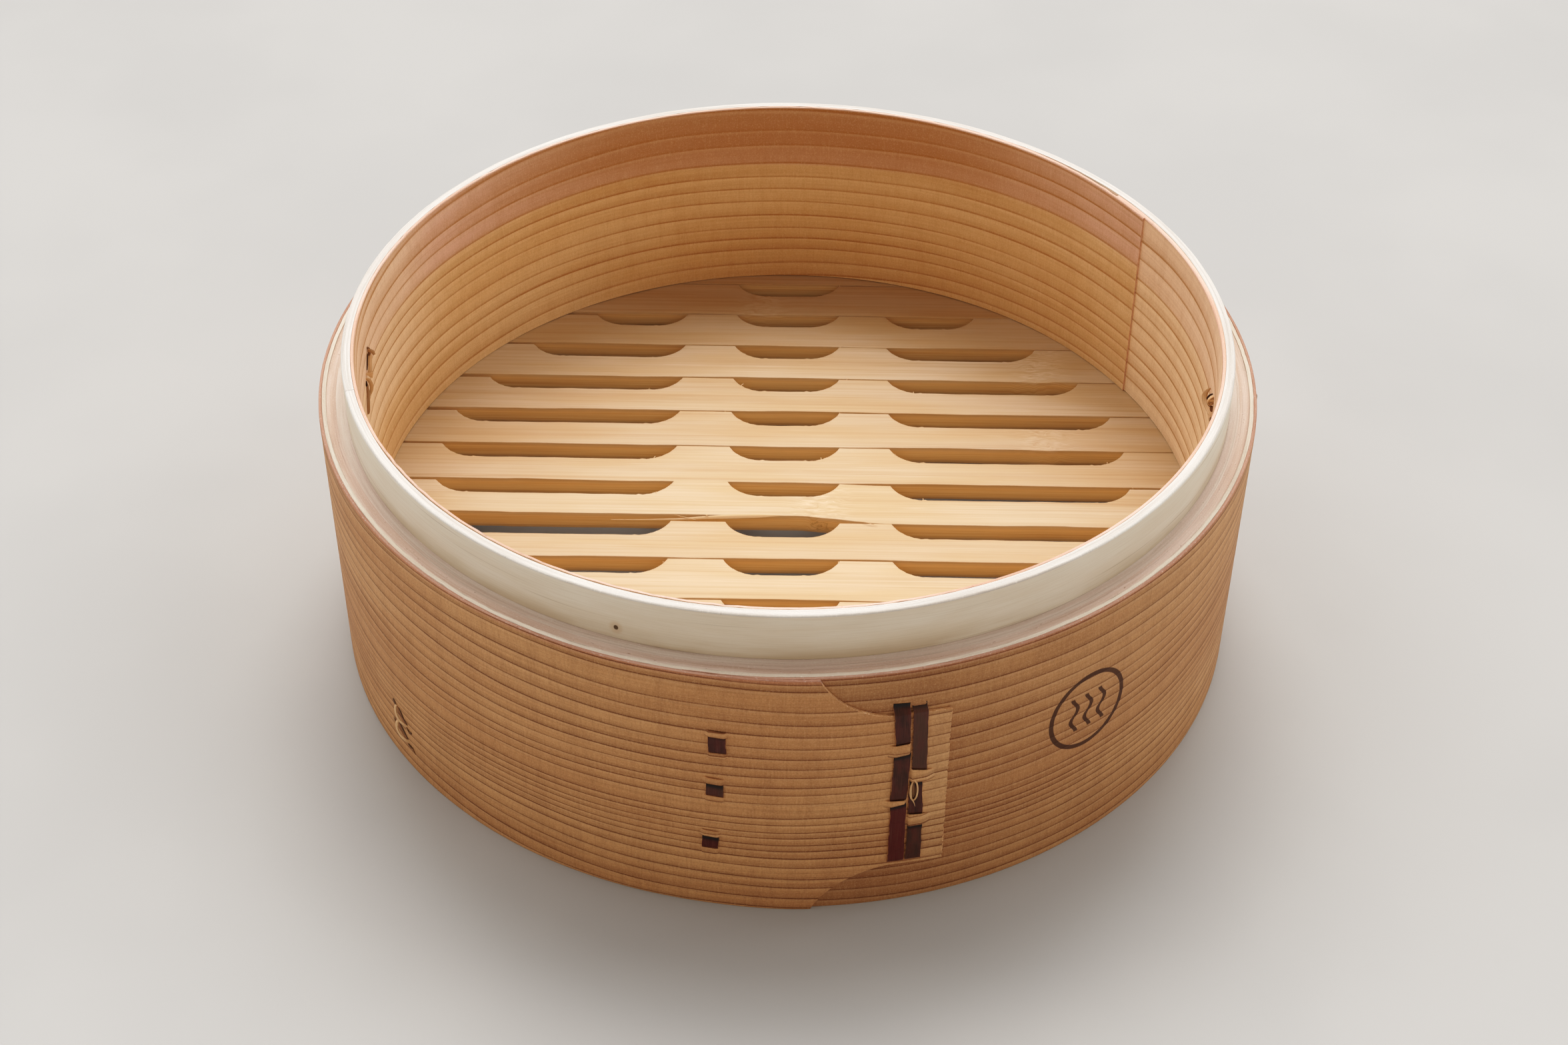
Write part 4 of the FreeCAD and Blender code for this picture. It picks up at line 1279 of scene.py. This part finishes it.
def plugged_tie():
    """Two short strands across torn holes, low on the left, with thin dark strands as painted shade in the
    holes.
    """
    strands = [
        (1.0, 0.45, dict(tone=-0.1, taper=0.2),
         (-0.8, 5.9, -0.3), (-0.7, 5.3, 0.5), (-0.25, 3.7, 0.85), (0.4, 2.5, 0.8), (1.1, 2, 0.4),
         (1.5, 1.8, -0.1)),
        (1.1, 0.45, dict(tone=-0.05, taper=0.2),
         (-0.75, 0.3, -0.3), (-0.8, -0.3, 0.5), (-0.6, -1.8, 0.85), (0.1, -3, 0.85), (1, -3.45, 0.5),
         (1.5, -3.6, -0.2)),
        (0.6, 0.16, dict(tone=1.6), (-0.2, 5.8, 0.1), (0.3, 4.8, 0.12), (0.8, 3.5, 0.12), (1.6, 2.5, 0.1)),
        (0.85, 0.16, dict(tone=1.6), (-0.5, 0.6, 0.1), (0, -0.6, 0.12), (0.6, -1.7, 0.12), (1.4, -2.8, 0.1)),
        (1.15, 0.16, dict(tone=1.5), (-1.45, 6.9, 0.08), (-1.2, 6.2, 0.14), (-0.75, 5.5, 0.12)),
        (0.7, 0.25, dict(tone=1.5), (1.2, 0.9, 0.08), (1.8, 0.6, 0.25), (2.5, 1, 0.08)),
        (0.3, 0.25, dict(tone=0.3), (1.4, 1.2, 0.2), (1.8, 0.9, 0.4), (2.1, 0.3, 0.2)),
        (0.55, 0.25, dict(tone=1.5), (1.25, -4.7, 0.08), (1.8, -4.5, 0.25), (2.35, -4.7, 0.1)),
        (0.25, 0.2, dict(tone=1.0), (2.2, -4.5, 0.15), (2.6, -5.1, 0.2), (2.85, -5.8, 0.1)),
        (0.75, 0.2, dict(tone=0.7), (-1.95, 0, 0), (-1.75, -0.8, 0.25), (-1.45, -1.4, 0.05)),
    ]
    return shifted(strands, 217, 12, HOOP_RADIUS)


def chain_tie():
    """The tie on the left: folded pieces of strip in a row inside the lining, and one strand outside. Its
    strands of tone 1.3 and above are painted shadows beside the pieces.
    """
    front = dict(facing=(0, -1, 0.35))
    outside = (
        1.3, 0.5, dict(tone=0.3),
        (0, 4.6, -0.5), (0, 3.6, 0.3), (0.1, -1, 0.5), (0, -5.8, 0.3), (0, -6.8, -0.5),
    )
    inside = [
        (0.75, 0.4, dict(tone=1.3, **front),
         (-2.5, 6, 0.6), (-2.4, 5.6, 0.05), (-2.2, 4.8, -0.05), (-2, 4.1, 0)),
        (1.0, 0.3, dict(tone=0.55, widths=(0.8, 1, 1, 0.7), **front),
         (-2.3, 5.4, 0.3), (-2.15, 5.4, -0.4), (-2.1, 5.1, -1), (-2, 4.4, -1.4)),
        (1.05, 0.3, dict(tone=0.1, taper=0.1, **front),
         (-2.2, 4.6, 0.3), (-2, 4, -0.2), (-1.3, 2.64, -0.3), (-0.7, 1.1, -0.35), (-0.4, 0.3, 0)),
        (0.4, 0.5, dict(tone=1.7, **front), (-2.1, 4.4, 0.4), (-1.4, 2.9, 0.4), (-0.7, 1.2, 0.45)),
        (2.0, 0.25, dict(tone=0.05, widths=(0.08, 0.4, 0.8, 1.0), **front),
         (0.25, 1.2, 0.7), (0, 0.95, 0), (-0.2, 0.5, -0.63), (-0.3, 0.35, -1.1)),
        (1.0, 0.3, dict(tone=0.25, widths=(0.6, 1, 1, 0.9, 0.6, 0.3), **front),
         (0.6, 0.3, 0.6), (0.5, -0.4, -0.2), (0.6, -1.75, -0.7), (0.8, -3, -0.65), (1.1, -4.1, -0.2),
         (1.3, -4.7, 0.5)),
        (0.6, 0.5, dict(tone=1.9, **front), (0.8, -0.2, 0.5), (1, -0.85, 0.4), (1.1, -1.5, 0.45)),
        (0.8, 0.3, dict(tone=0.7, taper=0.2, **front),
         (0.7, -1.4, 0.4), (1.2, -3.5, 0.15), (1.9, -5.2, 0.1), (2.6, -7.5, 0.25), (2.7, -8, 0.7)),
    ]
    return shifted(inside, 181, 69, LINING_FACE) + shifted([outside], 181, 69, HOOP_RADIUS)


def rolled_tie():
    """The tie on the right: a rolled knot in a torn hole, a pulled strip below, and a strand outside. Its
    strands of tone 1.2 and above are painted shadows round the knot and the strip.
    """
    front, level = dict(facing=(0, -1, 0.35)), dict(facing=(0, -1, 0))
    outside = (
        1.2, 0.5, dict(tone=0.9),
        (0.5, 3.5, -0.5), (0.5, 2.9, 0.15), (0.6, 1.7, 0.3), (0.5, -0.4, 0.15), (0.5, -1.2, -0.5),
    )
    inside = [
        (1.6, 1.6, dict(tone=0.15, taper=0.0), (0.3, 1.4, 0), (-0.2, 1.4, -0.05), (-0.6, 1.38, -0.1)),
        (0.95, 0.95, dict(tone=0.6, taper=0.1), (-0.4, 0.95, -0.05), (-0.75, 0.93, -0.07)),
        (0.35, 0.9, dict(tone=0.0, **level),
         (-0.1, 2.6, 0.35), (-0.3, 2.4, -0.3), (-0.4, 1.9, -0.8), (-0.45, 1.2, -0.95), (-0.5, 0.55, -0.65),
         (-0.55, 0.25, -0.1)),
        (0.5, 0.4, dict(tone=1.9, **level),
         (0.2, 2.9, 0.2), (0.1, 2.6, -0.5), (0.05, 1.9, -1), (0, 1.3, -1.1)),
        (0.55, 0.5, dict(tone=1.9, **level), (-0.1, 0.6, -0.9), (-0.25, 0, -0.5), (-0.45, -0.3, 0.2)),
        (0.9, 0.4, dict(tone=1.2, **front), (-0.4, -0.1, 0.2), (-0.5, -0.7, 0.2), (-0.7, -1.5, 0.4)),
        (1.5, 0.6, dict(tone=0.3, widths=(0.3, 0.8, 1, 1, 0.9, 0.7, 0.4), **front),
         (3.4, 0.3, 0.3), (2.9, -0.3, -0.8), (2.6, -1.2, -1.2), (2, -2.3, -0.95), (1.2, -3.1, -0.3),
         (0.2, -3.6, 0.3), (-0.4, -4.2, 0.7)),
        (0.7, 0.4, dict(tone=1.3, **front), (-0.3, -3.8, 0.4), (-0.7, -4.7, 0.5)),
    ]
    return shifted(inside, 355, 70, LINING_FACE) + shifted([outside], 355, 70, HOOP_RADIUS)


def build_ties():
    build_tie("tie_front", ring_tie())
    build_tie("tie_left_front", plugged_tie())
    build_tie("tie_left", chain_tie())
    build_tie("tie_right", rolled_tie())


def build_rods():
    """The rods stay as in CAD, with bamboo on them."""
    for name in ("rod_left", "rod_right"):
        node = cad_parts[name]
        node.data.materials.clear()
        node.data.materials.append(WOOD["bamboo"])


# ---------------------------------------------------------------- studio

CAMERA_PLACE = (4.67, -500.15, 430.88)
CAMERA_YAW, CAMERA_PITCH, CAMERA_ROLL = -0.0107, 0.6869, 0.0087
CAMERA_LENS, SENSOR = 54.39, 36.0


def build_camera():
    """Camera at the viewing angle: turned by yaw, tipped down by pitch, then rolled."""
    yaw, pitch, roll = CAMERA_YAW, CAMERA_PITCH, CAMERA_ROLL
    ahead = Vector((math.sin(yaw) * math.cos(pitch), math.cos(yaw) * math.cos(pitch), -math.sin(pitch)))
    level = Vector((math.cos(yaw), -math.sin(yaw), 0))
    above = level.cross(ahead)
    right = level * math.cos(roll) + above * math.sin(roll)
    upward = above * math.cos(roll) - level * math.sin(roll)
    turn = Matrix((right, upward, -ahead)).transposed()
    data = bpy.data.cameras.new("camera")
    data.lens, data.sensor_width = CAMERA_LENS, SENSOR
    data.clip_start, data.clip_end = 0.01, 50
    camera = bpy.data.objects.new("camera", data)
    camera.matrix_world = Matrix.Translation(Vector(CAMERA_PLACE) * MM) @ turn.to_4x4()
    bpy.context.collection.objects.link(camera)
    bpy.context.scene.camera = camera


# The floor reaches this many metres each way.
FLOOR_REACH = 6.0
WORLD_COLOUR, WORLD_STRENGTH = (1.0, 0.99, 0.98, 1), 0.01
# A soft print curve in linear light: deeper shade, and highlights that ease off.
TONE_CURVE = ((0, 0), (0.02, 0.012), (0.06, 0.045), (0.15, 0.145), (0.35, 0.375), (0.65, 0.69), (1.0, 0.95))
COOL, WARM = (1.0, 0.985, 0.965), (1.0, 0.79, 0.56)
# Broad soft lights, far away: bearing they come from, height angle, spread, strength, colour.
SOFT_LIGHTS = {
    "behind": (90, 49, 36, 1.55, COOL),
    "above": (90, 62, 30, 1.15, COOL),
    "behind_left": (138, 40, 45, 1.2, COOL),
    "behind_right": (42, 40, 45, 1.15, COOL),
    "left": (190, 30, 55, 0.75, COOL),
    "right": (-10, 30, 55, 0.8, COOL),
    "front": (270, 50, 60, 0.3, WARM),
    "front_low": (270, 18, 50, 0.4, WARM),
}


def soft_light(name, bearing_from, height_angle, spread, strength, colour):
    data = bpy.data.lights.new(name, "SUN")
    data.angle, data.energy, data.color = math.radians(spread), strength, colour
    a, e = math.radians(bearing_from), math.radians(height_angle)
    towards = Vector((math.cos(a) * math.cos(e), math.sin(a) * math.cos(e), math.sin(e)))
    light = bpy.data.objects.new(name, data)
    light.rotation_euler = towards.to_track_quat("Z", "Y").to_euler()
    bpy.context.collection.objects.link(light)


def build_studio():
    mesh = bpy.data.meshes.new("studio_floor")
    corners = [(x * FLOOR_REACH, y * FLOOR_REACH, 0) for x, y in ((-1, -1), (1, -1), (1, 1), (-1, 1))]
    mesh.from_pydata(corners, [], [(0, 1, 2, 3)])
    mesh.materials.append(pale_floor("studio_floor"))
    floor = bpy.data.objects.new("studio_floor", mesh)
    bpy.context.collection.objects.link(floor)

    for name, light in SOFT_LIGHTS.items():
        soft_light(name, *light)
    world = bpy.data.worlds.new("studio")
    world.use_nodes = True
    background = world.node_tree.nodes["Background"]
    background.inputs[0].default_value = WORLD_COLOUR
    background.inputs[1].default_value = WORLD_STRENGTH
    bpy.context.scene.world = world
    view = bpy.context.scene.view_settings
    view.view_transform = "Standard"
    view.use_curve_mapping = True
    curve = view.curve_mapping.curves[3]
    for place in TONE_CURVE[1:-1]:
        curve.points.new(*place)
    curve.points[-1].location = TONE_CURVE[-1]
    view.curve_mapping.update()


build_camera()
build_studio()
build_wall()
build_floor()
build_lace("lace_left_column", LACE_LEFT, (0.3, 0.25, 0.55), (0.1, 0.2, 0.0))
build_lace("lace_right_column", LACE_RIGHT, (0.1, 0.3, 0.25), (0.85, 0.1, 0.35))
build_lace("lace_anchor_row", LACE_ROW, (0.4, 0.2, 0.45), (0.1, 0.6, 0.0))
build_bridges()
build_ties()
build_rods()
